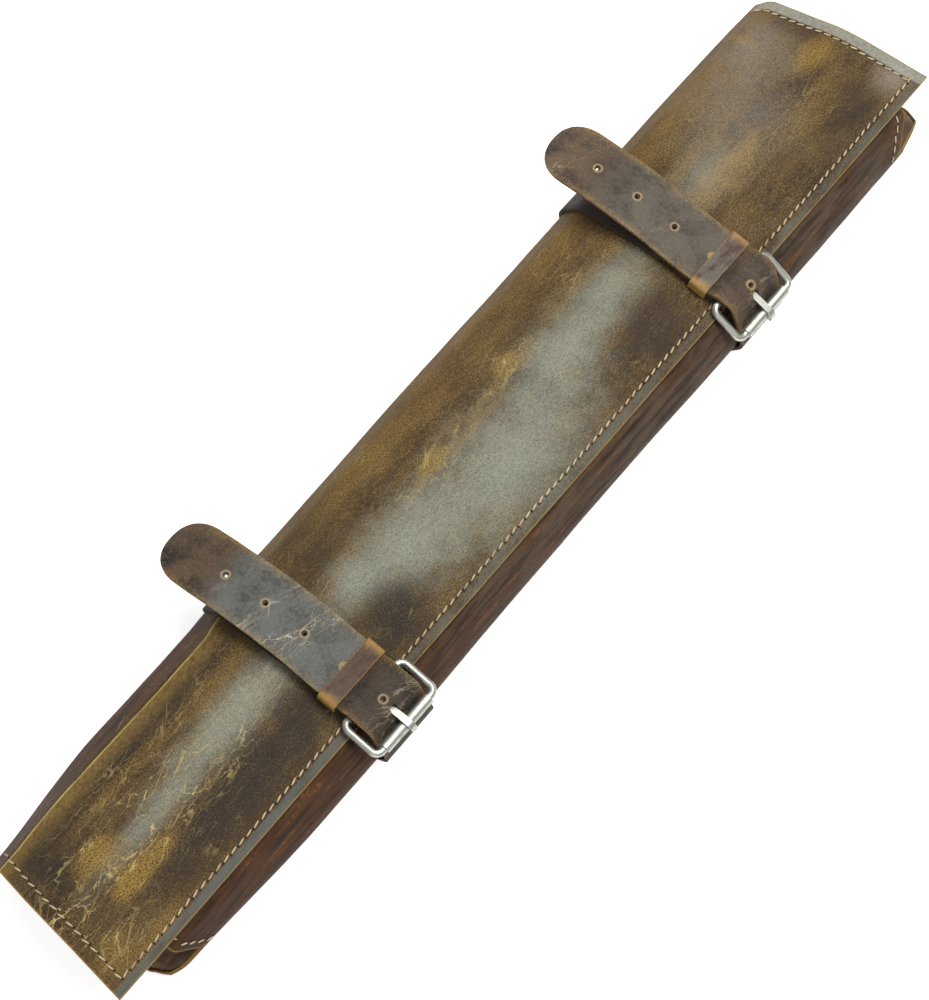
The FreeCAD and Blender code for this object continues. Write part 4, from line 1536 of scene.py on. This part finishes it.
@dataclass
class Belt:
    """Strap with its free end, keeper and buckle. Section points are on the roll's own Y."""
    side: Side
    place: float
    centre_y: float
    bar: Pair
    roller: Pair
    roll: Roll
    bar_along: float
    leave: float
    crest: float
    tail: float
    tail_tilt: float
    tip_sway: float
    width: float = 46.0
    strap: float = 2.6
    gap: float = 0.3
    keeper: float = 1.6
    keeper_width: float = 14.0
    keeper_inset: float = 10.5
    keeper_side: float = 0.6
    fold_radius: float = 4.1
    return_length: float = 36.0
    lead: float = 14.5
    roller_clear: float = 5.9
    hole_radius: float = 2.5
    hole_steps: tuple[float, ...] = (11.0, 44.0, 77.0)
    back_holes: Pair = (-22.0, -55.6)
    landing_run: float = 35.99
    tip_power: float = 2.3
    hole_foot: float = 0.22
    prong_half: float = 2.9
    prong_straight: float = 2.6
    slot_half: float = 6.7

    def __post_init__(self) -> None:
        """Work out the cover's direction and the levels of the strap's layers."""
        edge, crown = np.array(self.roll.edge), np.array(self.roll.crown)
        self.along = unit(crown - edge)
        self.out = np.array((-self.along[1], self.along[0]))
        self.origin = edge + self.out * self.roll.leather / 2
        self.crown_at = float(np.linalg.norm(crown - edge))
        self.clear = (self.roll.leather + self.strap) / 2 + self.gap
        self.return_level = 2 * self.gap + self.keeper + self.strap / 2
        self.base_level = self.return_level + self.strap + 0.2
        self.tail_level = self.base_level + self.strap + 0.2
        self.bar_level = self.gap + self.fold_radius + self.strap / 2
        self.over_level = self.bar_level + self.fold_radius + self.strap + 0.2
        self.root = self.bar_along + self.keeper_inset + self.keeper_width + 21.5

    def over(self, distance: float, height: float) -> np.ndarray:
        """Section point at a distance from the free edge and a height over the cover."""
        return self.origin + self.along * distance + self.out * height

    def corner(self, distance: float, height: float, radius: float, arc: int = 6,
               run: int = 4) -> Corner:
        """Corner of the strap's path over the cover."""
        y, z = self.over(distance, height)
        return Corner(float(y), float(z), radius, arc, run)

    def side_run(self) -> tuple[list[np.ndarray], np.ndarray, float]:
        """Straight run of the strap from the case's side up to the roller.

        Returns:
            Corners of the line beside the shell, where the run starts, and its slope in radians.
        """
        beside = beside_roll(self.roll, self.place, self.clear)
        start = beside[6] + unit(beside[6] - beside[5]) * self.leave
        reach = np.array(self.roller) - start
        turn = math.asin(self.roller_clear / float(np.linalg.norm(reach)))
        return beside, start, math.atan2(reach[1], reach[0]) - turn

    def path(self) -> Line:
        """Middle line of the whole strap.

        Returns:
            The line from the folded-back end, round the inner bar and the case, to the tip.
        """
        clear = self.clear
        beside, start, slope = self.side_run()
        round_by = [corner.radius + clear for corner in self.roll.corners(self.place)]
        low, high = self.bar_level - self.fold_radius, self.bar_level + self.fold_radius
        bar = self.bar_along
        run = unit(beside[2] - beside[1])
        landing = beside[1] + run * self.landing_run
        top = crossing(start, heading(slope), self.over(0.0, self.over_level), self.along)
        bend = self.over(self.root + self.lead, self.tail_level)
        tip = bend + heading(math.radians(self.tail_tilt)) * (self.tail - self.lead)
        corners = [
            self.corner(bar + self.return_length, self.return_level, 0.0),
            self.corner(bar + 7.0, self.return_level, 4.0, 4, 12),
            self.corner(bar + 2.2, low, 4.0, 4),
            self.corner(bar - self.fold_radius, low, self.fold_radius, 8),
            self.corner(bar - self.fold_radius, high, self.fold_radius, 8),
            self.corner(bar + 2.0, high, 4.0, 4),
            self.corner(bar + 8.5, self.base_level, 4.0, 4),
            self.corner(self.crown_at - self.crest, self.base_level, 30.0, 6, 16),
            Corner(*landing, 40.0, 8, 16),
            *(Corner(*beside[at], round_by[at], 10, runs) for at,
              runs in ((2, 8), (3, 6), (4, 6), (5, 40))),
            Corner(*start, 14.0, 8, 8),
            Corner(*top, 7.0, 12, 16),
            self.corner(bar + 2.5, self.over_level, 4.0, 4, 8),
            self.corner(bar + 9.5, self.tail_level, 4.0, 4),
            Corner(*bend, 60.0, 8, 24),
            Corner(*tip, 0.0, 1, 44),
        ]
        return sampled(corners)

    def grid(self, line: Line, start: float, end: float, gap: float, root: float) -> Grids:
        """One face of a stretch of the strap.

        Args:
            line: the strap's middle line.
            start: length along it where the stretch begins.
            end: length where it ends.
            gap: distance of the face from the middle line.
            root: length at the free end's root, where the map starts.

        Returns:
            Grid of points, and the map's pairs.
        """
        total = float(line.lengths[-1])
        lengths = np.arange(start, end, 2.0)
        tip_round = self.width / 2
        if end >= total - 1e-6:
            lengths = lengths[lengths < total - tip_round - 1.0]
            turn = np.linspace(0.0, math.pi / 2, 26)
            lengths = np.concatenate([lengths, total - tip_round * (1 - np.sin(turn))])
        else:
            lengths = np.concatenate([lengths[lengths < end - 1.0], [end]])
        angle = np.unwrap(np.arctan2(line.normals[:, 1], line.normals[:, 0]))
        angle = np.interp(lengths, line.lengths, angle)
        y = np.interp(lengths, line.lengths, line.points[:, 0]) + np.cos(angle) * gap
        z = np.interp(lengths, line.lengths, line.points[:, 1]) + np.sin(angle) * gap
        left = np.clip((total - lengths) / tip_round, 0.0, 1.0)
        half = self.width / 2 * (1 - (1 - left) ** self.tip_power) ** (1 / self.tip_power)
        sway = self.swayed(lengths, root, total)
        ragged = np.array([0.25 * wobble(place, self.place, 26.0, 2.0) for place in lengths])
        across = np.linspace(-1.0, 1.0,
                             25)[None] * (half + ragged * np.clip(half / 8, 0, 1))[:, None]
        free = step(lengths, root + 12.0, total)[:, None]
        cup = -0.9 * free * (across / (self.width / 2)) ** 2
        x = self.place + sway[:, None] + across
        points = np.stack([x, np.broadcast_to(y[:, None], x.shape) + self.centre_y,
                           np.broadcast_to(z[:, None], x.shape) + cup], axis=2)
        pairs = np.stack([np.broadcast_to((lengths - root)[:, None], x.shape), across], axis=2)
        return points, pairs

    def swayed(self, lengths: float | np.ndarray, root: float, total: float) -> float | np.ndarray:
        """How far the free end is off to one side, from its root to its tip."""
        return self.tip_sway * step(lengths, root,
                                    total) * np.maximum(lengths - root, 0.0) / (total - root)

    def build(self, looks: Looks) -> None:
        """Make the strap's two pieces and the keeper.

        Args:
            looks: materials by name.
        """
        name = self.side.value
        line = self.path()
        root = self.length_at(line, self.root)
        split = self.length_at(line, self.bar_along + self.keeper_inset + self.keeper_width / 2)
        total = float(line.lengths[-1])
        pieces = []
        for label, start, end in (("belt", 0.0, split), ("belt_end", split, total)):
            outer, pairs = self.grid(line, start, end, self.strap / 2, root)
            inner, _ = self.grid(line, start, end, -self.strap / 2, root)
            piece = sheet_mesh(f"{name}_{label}", outer, inner, {HIDE_MAP: pairs})
            pieces.append(merged(piece))
        self.punched(pieces[0], [root + distance for distance in self.back_holes], line)
        self.slotted(pieces[0])
        self.punched(pieces[1], [root + distance for distance in self.hole_steps], line)
        for piece in pieces:
            dressed(softened(piece, 0.4, 2, 60.0), looks[f"{name}_strap"], looks["strap_edge"])
        carried(pieces[0], "case", "strap_leather", f"{name}_strap")
        self.bend(pieces[1])
        keeper = self.make_keeper()
        dressed(softened(keeper, 0.35, 2, 60.0), looks[f"{name}_keeper"], looks["strap_edge"])
        carried(keeper, f"{name}_keeper_loop", "keeper_leather", f"{name}_keeper")

    def bend(self, piece: Piece) -> None:
        """Bake the free end's place into its mesh and hide the CAD tail that it replaces.

        Args:
            piece: the free end's mesh.
        """
        name = self.side.value
        start = self.placed(self.over(self.root - 3.0, self.tail_level))
        end = self.placed(self.over(self.root + 7.0, self.tail_level))
        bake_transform(piece)
        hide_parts(f"{name}_strap_tail")
        LOG.info("%s bends between case and %s_tail", piece.name, name)

    def placed(self, point: np.ndarray, x: float | None = None) -> Triple:
        """Section point in the frame, in metres.

        Args:
            point: section point.
            x: place along the case, or None for the belt's own.

        Returns:
            Its coordinates.
        """
        return ((self.place if x is None else x) * MM, (point[0] + self.centre_y) * MM,
                point[1] * MM)

    def length_at(self, line: Line, distance: float) -> float:
        """Length along the strap's line, on its top run, at a distance from the free edge.

        Args:
            line: the strap's middle line.
            distance: distance over the cover from its free edge.

        Returns:
            The length.
        """
        target = self.over(distance, self.tail_level)
        late = np.nonzero(line.lengths > line.lengths[-1] * 0.6)[0]
        along = (line.points[late] - target) @ self.along
        return float(np.interp(0.0, along, line.lengths[late]))

    def punched(self, piece: Piece, lengths: Sequence[float], line: Line) -> None:
        """Punch round holes through a stretch of the strap.

        Args:
            piece: strap piece.
            lengths: places of the holes along the strap's line.
            line: the strap's middle line.
        """
        total = float(line.lengths[-1])
        root = self.length_at(line, self.root)
        for length in lengths:
            y = float(np.interp(length, line.lengths, line.points[:, 0]))
            z = float(np.interp(length, line.lengths, line.points[:, 1]))
            normal = np.array([np.interp(length, line.lengths, line.normals[:, axis])
                               for axis in (0, 1)])
            sway = float(self.swayed(length, root, total))
            turn = math.atan2(normal[1], normal[0]) - math.pi / 2
            circle = [(self.hole_radius * math.cos(t), self.hole_radius * math.sin(t))
                      for t in np.linspace(0, 2 * math.pi, 24, endpoint=False)]
            cut(piece,
                prism(circle, 2.0, self.placed(np.array((y, z)), self.place + sway), turn,
                      self.hole_foot))

    def slotted(self, piece: Piece) -> None:
        """Cut the prong's hole, and the slot for it in the fold round the inner bar.

        Args:
            piece: strap piece.
        """
        reach = unit(np.array(self.roller) - np.array(self.bar))
        rise = np.array((reach[1], -reach[0]))
        rise = rise if rise[1] > 0 else -rise
        start = np.array(self.bar) + rise * 3.4
        _, side, slope = self.side_run()
        climb = heading(slope)
        half, straight, wide = self.prong_half, self.prong_straight, self.slot_half
        middle = crossing(side, climb, start, reach) + climb * straight
        outline = [(half * math.cos(t), straight + half * math.sin(t))
                   for t in np.linspace(0, math.pi, 10)]
        outline += [(-half * math.cos(t), -straight - half * math.sin(t))
                    for t in np.linspace(0, math.pi, 10)]
        cut(piece, prism(outline, 5.0, self.placed(middle), slope))
        box = [(-half, -wide), (half, -wide), (half, wide), (-half, wide)]
        centre = self.over(self.bar_along, self.bar_level)
        cut(piece, prism(box, 5.6, self.placed(centre), math.atan2(self.along[1], self.along[0])))

    def make_keeper(self) -> Piece:
        """Leather loop round the strap's layers.

        Returns:
            The loop.
        """
        half = self.width / 2 + self.keeper_side + self.keeper / 2
        low = self.gap + self.keeper / 2
        high = self.tail_level + self.strap / 2 + self.gap + self.keeper / 2
        ring = sampled([Corner(0.0, high), Corner(-half, high, 2.0, 6, 14),
                        Corner(-half, low, 2.0, 6, 4),
                        Corner(half, low, 2.0, 6, 26), Corner(half, high, 2.0, 6, 4),
                        Corner(0.0, high, 0.0, 1, 14)])
        around = ring.lengths[-1]
        points, normals = ring.points[:-1], -ring.normals[:-1]
        lengths = np.where(ring.lengths[:-1] > around / 2, ring.lengths[:-1] - around,
                           ring.lengths[:-1])
        shares = np.linspace(0.0, 1.0, 9)
        start = self.bar_along + self.keeper_inset
        faces = []
        for thick in (self.keeper / 2, -self.keeper / 2):
            grid = np.zeros((len(points), len(shares), 3))
            for row, (point, normal) in enumerate(zip(points, normals)):
                x, height = point + normal * thick
                sag = 0.35 * math.exp(-(x / 9.0) ** 2) if height > self.base_level else 0.0
                for column, share in enumerate(shares):
                    wave = 0.35 * wobble(x, share, 14.0, 6.0) * (1 if share in (0.0, 1.0) else 0.4)
                    distance = start + share * self.keeper_width + wave * 0.8
                    place = self.over(distance, height - sag)
                    grid[row, column] = (self.place + x, place[0] + self.centre_y, place[1])
            faces.append(grid)
        across = np.broadcast_to((shares - 0.5) * self.keeper_width, (len(points), len(shares)))
        maps = {HIDE_MAP: np.stack([np.broadcast_to(lengths[:, None], across.shape), across],
                                   axis=2)}
        return sheet_mesh(f"{self.side.value}_loop", faces[0], faces[1], maps, closed=True)


def beside_roll(roll: Roll, x: float, gap: float) -> list[np.ndarray]:
    """Corners of a line beside the shell.

    Args:
        roll: the shell.
        x: place along the case.
        gap: distance outwards from the shell's middle line.

    Returns:
        The line's corners, in the shell's order.
    """
    places = [np.array((corner.y, corner.z)) for corner in roll.corners(x)]
    moved = []
    for index, place in enumerate(places):
        incoming = unit(place - places[index - 1]) if index else unit(places[1] - place)
        outgoing = unit(places[index + 1] - place) if index < len(places) - 1 else incoming
        first, second = (np.array((-run[1], run[0])) for run in (incoming, outgoing))
        moved.append(place + (first + second) * gap / (1 + float(first @ second)))
    return moved


def crossing(point: np.ndarray, run: np.ndarray, other: np.ndarray,
             other_run: np.ndarray) -> np.ndarray:
    """Where two lines meet, each given by a point and a direction.

    Args:
        point: point of the first line.
        run: its direction.
        other: point of the second line.
        other_run: its direction.

    Returns:
        The common point.
    """
    turn = run[0] * other_run[1] - run[1] * other_run[0]
    gap = other - point
    return point + run * (gap[0] * other_run[1] - gap[1] * other_run[0]) / turn


def prism(outline: Sequence[Pair], depth: float, centre: Triple,
          turn: float, foot: float = 1.0) -> Piece:
    """Cutter over a flat outline.

    Args:
        outline: its points across and along, in millimetres.
        depth: how far it reaches each way from its middle.
        centre: its middle in the frame, in metres.
        turn: its turn about X in radians.
        foot: size of its lower outline, as a share of the upper one.

    Returns:
        The cutter, to be used once.
    """
    count = len(outline)
    points = [(x * size * MM, y * size * MM, level * depth * MM)
              for level, size in ((-1, foot), (1, 1.0)) for x, y in outline]
    faces = [list(range(count))[::-1], list(range(count, 2 * count))]
    faces += [[index, (index + 1) % count, (index + 1) % count + count, index + count]
              for index in range(count)]
    mesh = bpy.data.meshes.new("cutter")
    mesh.from_pydata(points, [], faces)
    mesh.transform(Matrix.Translation(centre) @ Matrix.Rotation(turn, 4, "X"))
    mesh.materials.append(None)
    return outward(new_object("cutter", mesh))


def cut(piece: Piece, cutter: Piece) -> None:
    """Cut one object out of another and remove it; the cut's walls take the second material.

    Args:
        piece: object to cut.
        cutter: object to cut out and remove.
    """
    boolean = piece.modifiers.new("cut", "BOOLEAN")
    boolean.operation = "DIFFERENCE"
    boolean.solver = "EXACT"
    boolean.object = cutter
    settled(piece)
    walls = [cutter.matrix_world @ vertex.co for vertex in cutter.data.vertices]
    low = Vector((min(point[axis] for point in walls) for axis in range(3)))
    high = Vector((max(point[axis] for point in walls) for axis in range(3)))
    margin = CUT_MARGIN * MM
    tree = search_tree(cutter)
    for face in piece.data.polygons:
        if all(low[axis] - margin <= face.center[axis] <= high[axis] + margin for axis in range(3)):
            hit = tree.find_nearest(face.center)
            if hit[3] is not None and hit[3] < margin:
                face.material_index = 1
    mesh = cutter.data
    bpy.data.objects.remove(cutter)
    bpy.data.meshes.remove(mesh)


def search_tree(piece: Piece) -> BVHTree:
    """Search tree over an object's faces."""
    return BVHTree.FromPolygons([vertex.co for vertex in piece.data.vertices],
                                [face.vertices for face in piece.data.polygons])


def merged(piece: Piece) -> Piece:
    """Join a mesh's doubled points and drop what has no size.

    Args:
        piece: mesh object.

    Returns:
        The same object.
    """
    shape = bmesh.new()
    shape.from_mesh(piece.data)
    bmesh.ops.remove_doubles(shape, verts=shape.verts[:], dist=0.005 * MM)
    bmesh.ops.dissolve_degenerate(shape, edges=shape.edges[:], dist=0.002 * MM)
    shape.to_mesh(piece.data)
    shape.free()
    return piece


# ---- stage ----------------------------------------------------------------------------------
@dataclass(frozen=True)
class Stage:
    """Camera, lamps, world and the pale floor."""
    azimuth: float = -48.9
    elevation: float = 69.31
    roll: float = -1.3
    distance: float = 1417.81
    target: Triple = (-30.88, -19.35, 30.0)
    lens: float = 76.02
    floor_size: float = 120.0

    def camera(self) -> Piece:
        """Make the camera and use it.

        Returns:
            The camera.
        """
        azimuth, elevation, roll = (math.radians(a)
                                    for a in (self.azimuth, self.elevation, self.roll))
        back = Vector((math.sin(azimuth) * math.cos(elevation),
                       -math.cos(azimuth) * math.cos(elevation),
                       math.sin(elevation)))
        right = Vector((math.cos(azimuth), math.sin(azimuth), 0.0))
        up = back.cross(right)
        aside = right * math.cos(roll) + up * math.sin(roll)
        above = up * math.cos(roll) - right * math.sin(roll)
        data = bpy.data.cameras.new("camera")
        data.lens = self.lens
        data.sensor_fit = "VERTICAL"
        data.sensor_height = 36.0
        data.clip_start = 0.01
        made = new_object("camera", data)
        turn = Matrix((aside, above, back)).transposed().to_4x4()
        place = (Vector(self.target) + back * self.distance) * MM
        made.matrix_world = Matrix.Translation(place) @ turn
        bpy.context.scene.camera = made
        return made

    def lamp(self, name: str, place: Triple, size: Pair, power: float,
             aim: Triple = (0.0, 0.0, 0.03)) -> None:
        """Make one soft area lamp, aimed at a point.

        Args:
            name: its name.
            place: where it hangs, in metres.
            size: its two sides.
            power: its power in watts.
            aim: the point that it faces.
        """
        data = bpy.data.lights.new(name, "AREA")
        data.shape = "RECTANGLE"
        data.size, data.size_y = size
        data.energy = power
        made = new_object(name, data)
        made.location = place
        made.rotation_euler = (Vector(aim) - Vector(place)).to_track_quat("-Z", "Y").to_euler()

    def build(self) -> None:
        """Make the lamps, the world and the floor."""
        scene = bpy.context.scene
        scene.view_settings.view_transform = "Standard"
        self.lamp("window", (0.45, -0.15, 1.7), (1.7, 0.6), 30.0)
        self.lamp("fill", (-1.5, -1.0, 1.1), (1.2, 1.2), 5.0)
        self.lamp("back_fill", (0.3, 1.7, 1.0), (1.4, 0.8), 4.0)
        self.world()
        half = self.floor_size / 2
        mesh = bpy.data.meshes.new("floor")
        mesh.from_pydata([(-half, -half, -0.0004), (half, -half, -0.0004), (half, half, -0.0004),
                          (-half, half, -0.0004)], [], [(0, 1, 2, 3)])
        floor = new_object("floor", mesh)
        graph = Graph(bpy.data.materials.new("pale_floor"))
        diffuse = graph.node("ShaderNodeBsdfDiffuse", None, {"Color": (0.86, 0.86, 0.85)})
        seen = graph.node("ShaderNodeLightPath", out="Is Camera Ray")
        white = graph.node("ShaderNodeEmission", None,
                           {"Color": (1.0, 1.0, 1.0), "Strength": 0.28 + seen * 0.36})
        both = graph.node("ShaderNodeAddShader", None, {0: diffuse, 1: white})
        floor.data.materials.append(graph.shown(both))

    def world(self) -> None:
        """Soft grey surroundings that the lens sees as white and glossy rays as a darker grey."""
        graph = Graph(bpy.data.worlds.new("studio"))
        bpy.context.scene.world = graph.owner
        seen, glossy = (graph.node("ShaderNodeLightPath", out=f"Is {ray} Ray")
                        for ray in ("Camera", "Glossy"))
        strength = 0.42 + seen * 0.58 - glossy * 0.12
        back = graph.node("ShaderNodeBackground", None,
                          {"Color": (1.0, 1.0, 1.0), "Strength": strength})
        graph.shown(back, "ShaderNodeOutputWorld")


# ---- the whole case -------------------------------------------------------------------------
def finishes() -> Looks:
    """Make every material.

    Returns:
        Materials by name.
    """
    brown = LeatherTones(
        deep=(0.026, 0.019, 0.015), body=(0.082, 0.055, 0.035), olive=(0.140, 0.090, 0.048),
        bloom_and_sheen=(0.165, 0.160, 0.130), gold=(0.350, 0.215, 0.075), crack=(0.480, 0.400, 0.280))
    chosen = {
        "cover": CoverLeather("cover_leather", "cover_leather"),
        "edge": CutEdge("cut_edge", "cover_leather"),
        "near_strap": StrapLeather("near_strap_leather", "strap_leather", creases=(
            Spot(15, 0, 17, 23, 0.85), Spot(38, 0, 8, 23, 0.5), Spot(68, 0, 7, 23, 0.3))),
        "far_strap": StrapLeather("far_strap_leather", "strap_leather", tones=brown, bloom_and_sheen=0.45,
                                  bloom_and_sheen_ends=(44.0, 84.0),
                                  creases=(Spot(20, 0, 16, 23, 0.25), Spot(92, 0, 7, 23, 0.5))),
        "strap_edge": CutEdge("strap_edge", "strap_leather", share=0.55),
        "near_keeper": KeeperLeather("near_keeper_leather", "keeper_leather"),
        "far_keeper": KeeperLeather("far_keeper_leather", "keeper_leather", greyness=0.9),
        "suede": Suede("lining_suede", "lining_suede"),
        "pocket": Suede("pocket_suede", "pocket_suede", body=(0.230, 0.148, 0.088)),
        "thread": Thread("waxed_thread", "thread"),
        "needle_hole_shade": NeedleHoleShade("needle_hole_shade", "thread"),
        "nickel": Nickel("satin_nickel", "nickel"),
    }
    return {name: finish.build() for name, finish in chosen.items()}


def dress_node(name: str, material: Material) -> None:
    """Give a CAD node its material.

    Args:
        name: the node's name.
        material: its material.
    """
    dressed(bpy.data.objects[name], material)


def main() -> None:
    """Build the camera, the case, its belts and the stage."""
    logging.basicConfig(level=logging.INFO, format="%(name)s: %(message)s")
    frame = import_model()
    stage = Stage()
    stage.camera()
    looks = finishes()
    pockets = [name for name in frame["nodes"] if name.endswith("_pocket")]
    boxes = {name: [tuple(value / MM for value in corner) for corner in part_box(name)]
             for name in pockets}
    centre_y = (min(low[1] for low, _ in boxes.values())
                + max(high[1] for _, high in boxes.values())) / 2
    joints = {joint["name"]: [value / MM for value in joint.get("pos_m", (0, 0, 0))]
              for joint in frame["joints"]}
    places = {side: joints[f"{side.value}_prong_lift"] for side in Side}
    roll = Roll(centre_y, (places[Side.NEAR][0], places[Side.FAR][0]))
    CoverAssembly(roll).build(looks)
    for name, (low, high) in boxes.items():
        Pocket(name, low, high).build(looks["pocket"], looks["thread"], looks["needle_hole_shade"])
    choices = {
        Side.NEAR: {"bar_along": 7.5, "leave": 4.709, "crest": 10.394, "tail": 122.5,
                    "tail_tilt": -3.0,
                    "tip_sway": -5.5},
        Side.FAR: {"bar_along": 5.0, "leave": -0.116, "crest": 12.894, "tail": 113.5,
                   "tail_tilt": 12.5,
                   "tip_sway": -9.0},
    }
    for side, sizes in choices.items():
        bar, roller = places[side], joints[f"{side.value}_roller_spin"]
        belt = Belt(side, bar[0], centre_y, (bar[1] - centre_y, bar[2]),
                    (roller[1] - centre_y, roller[2]),
                    roll, **sizes)
        belt.build(looks)
        for part in ("frame", "roller", "prong"):
            dress_node(f"{side.value}_buckle_{part}", looks["nickel"])
        for part in ("chape", "anchor"):
            dress_node(f"{side.value}_{part}_stitches", looks["thread"])
    dress_node("pocket_stitches", looks["thread"])
    stage.build()


if __name__ == "__main__":
    main()
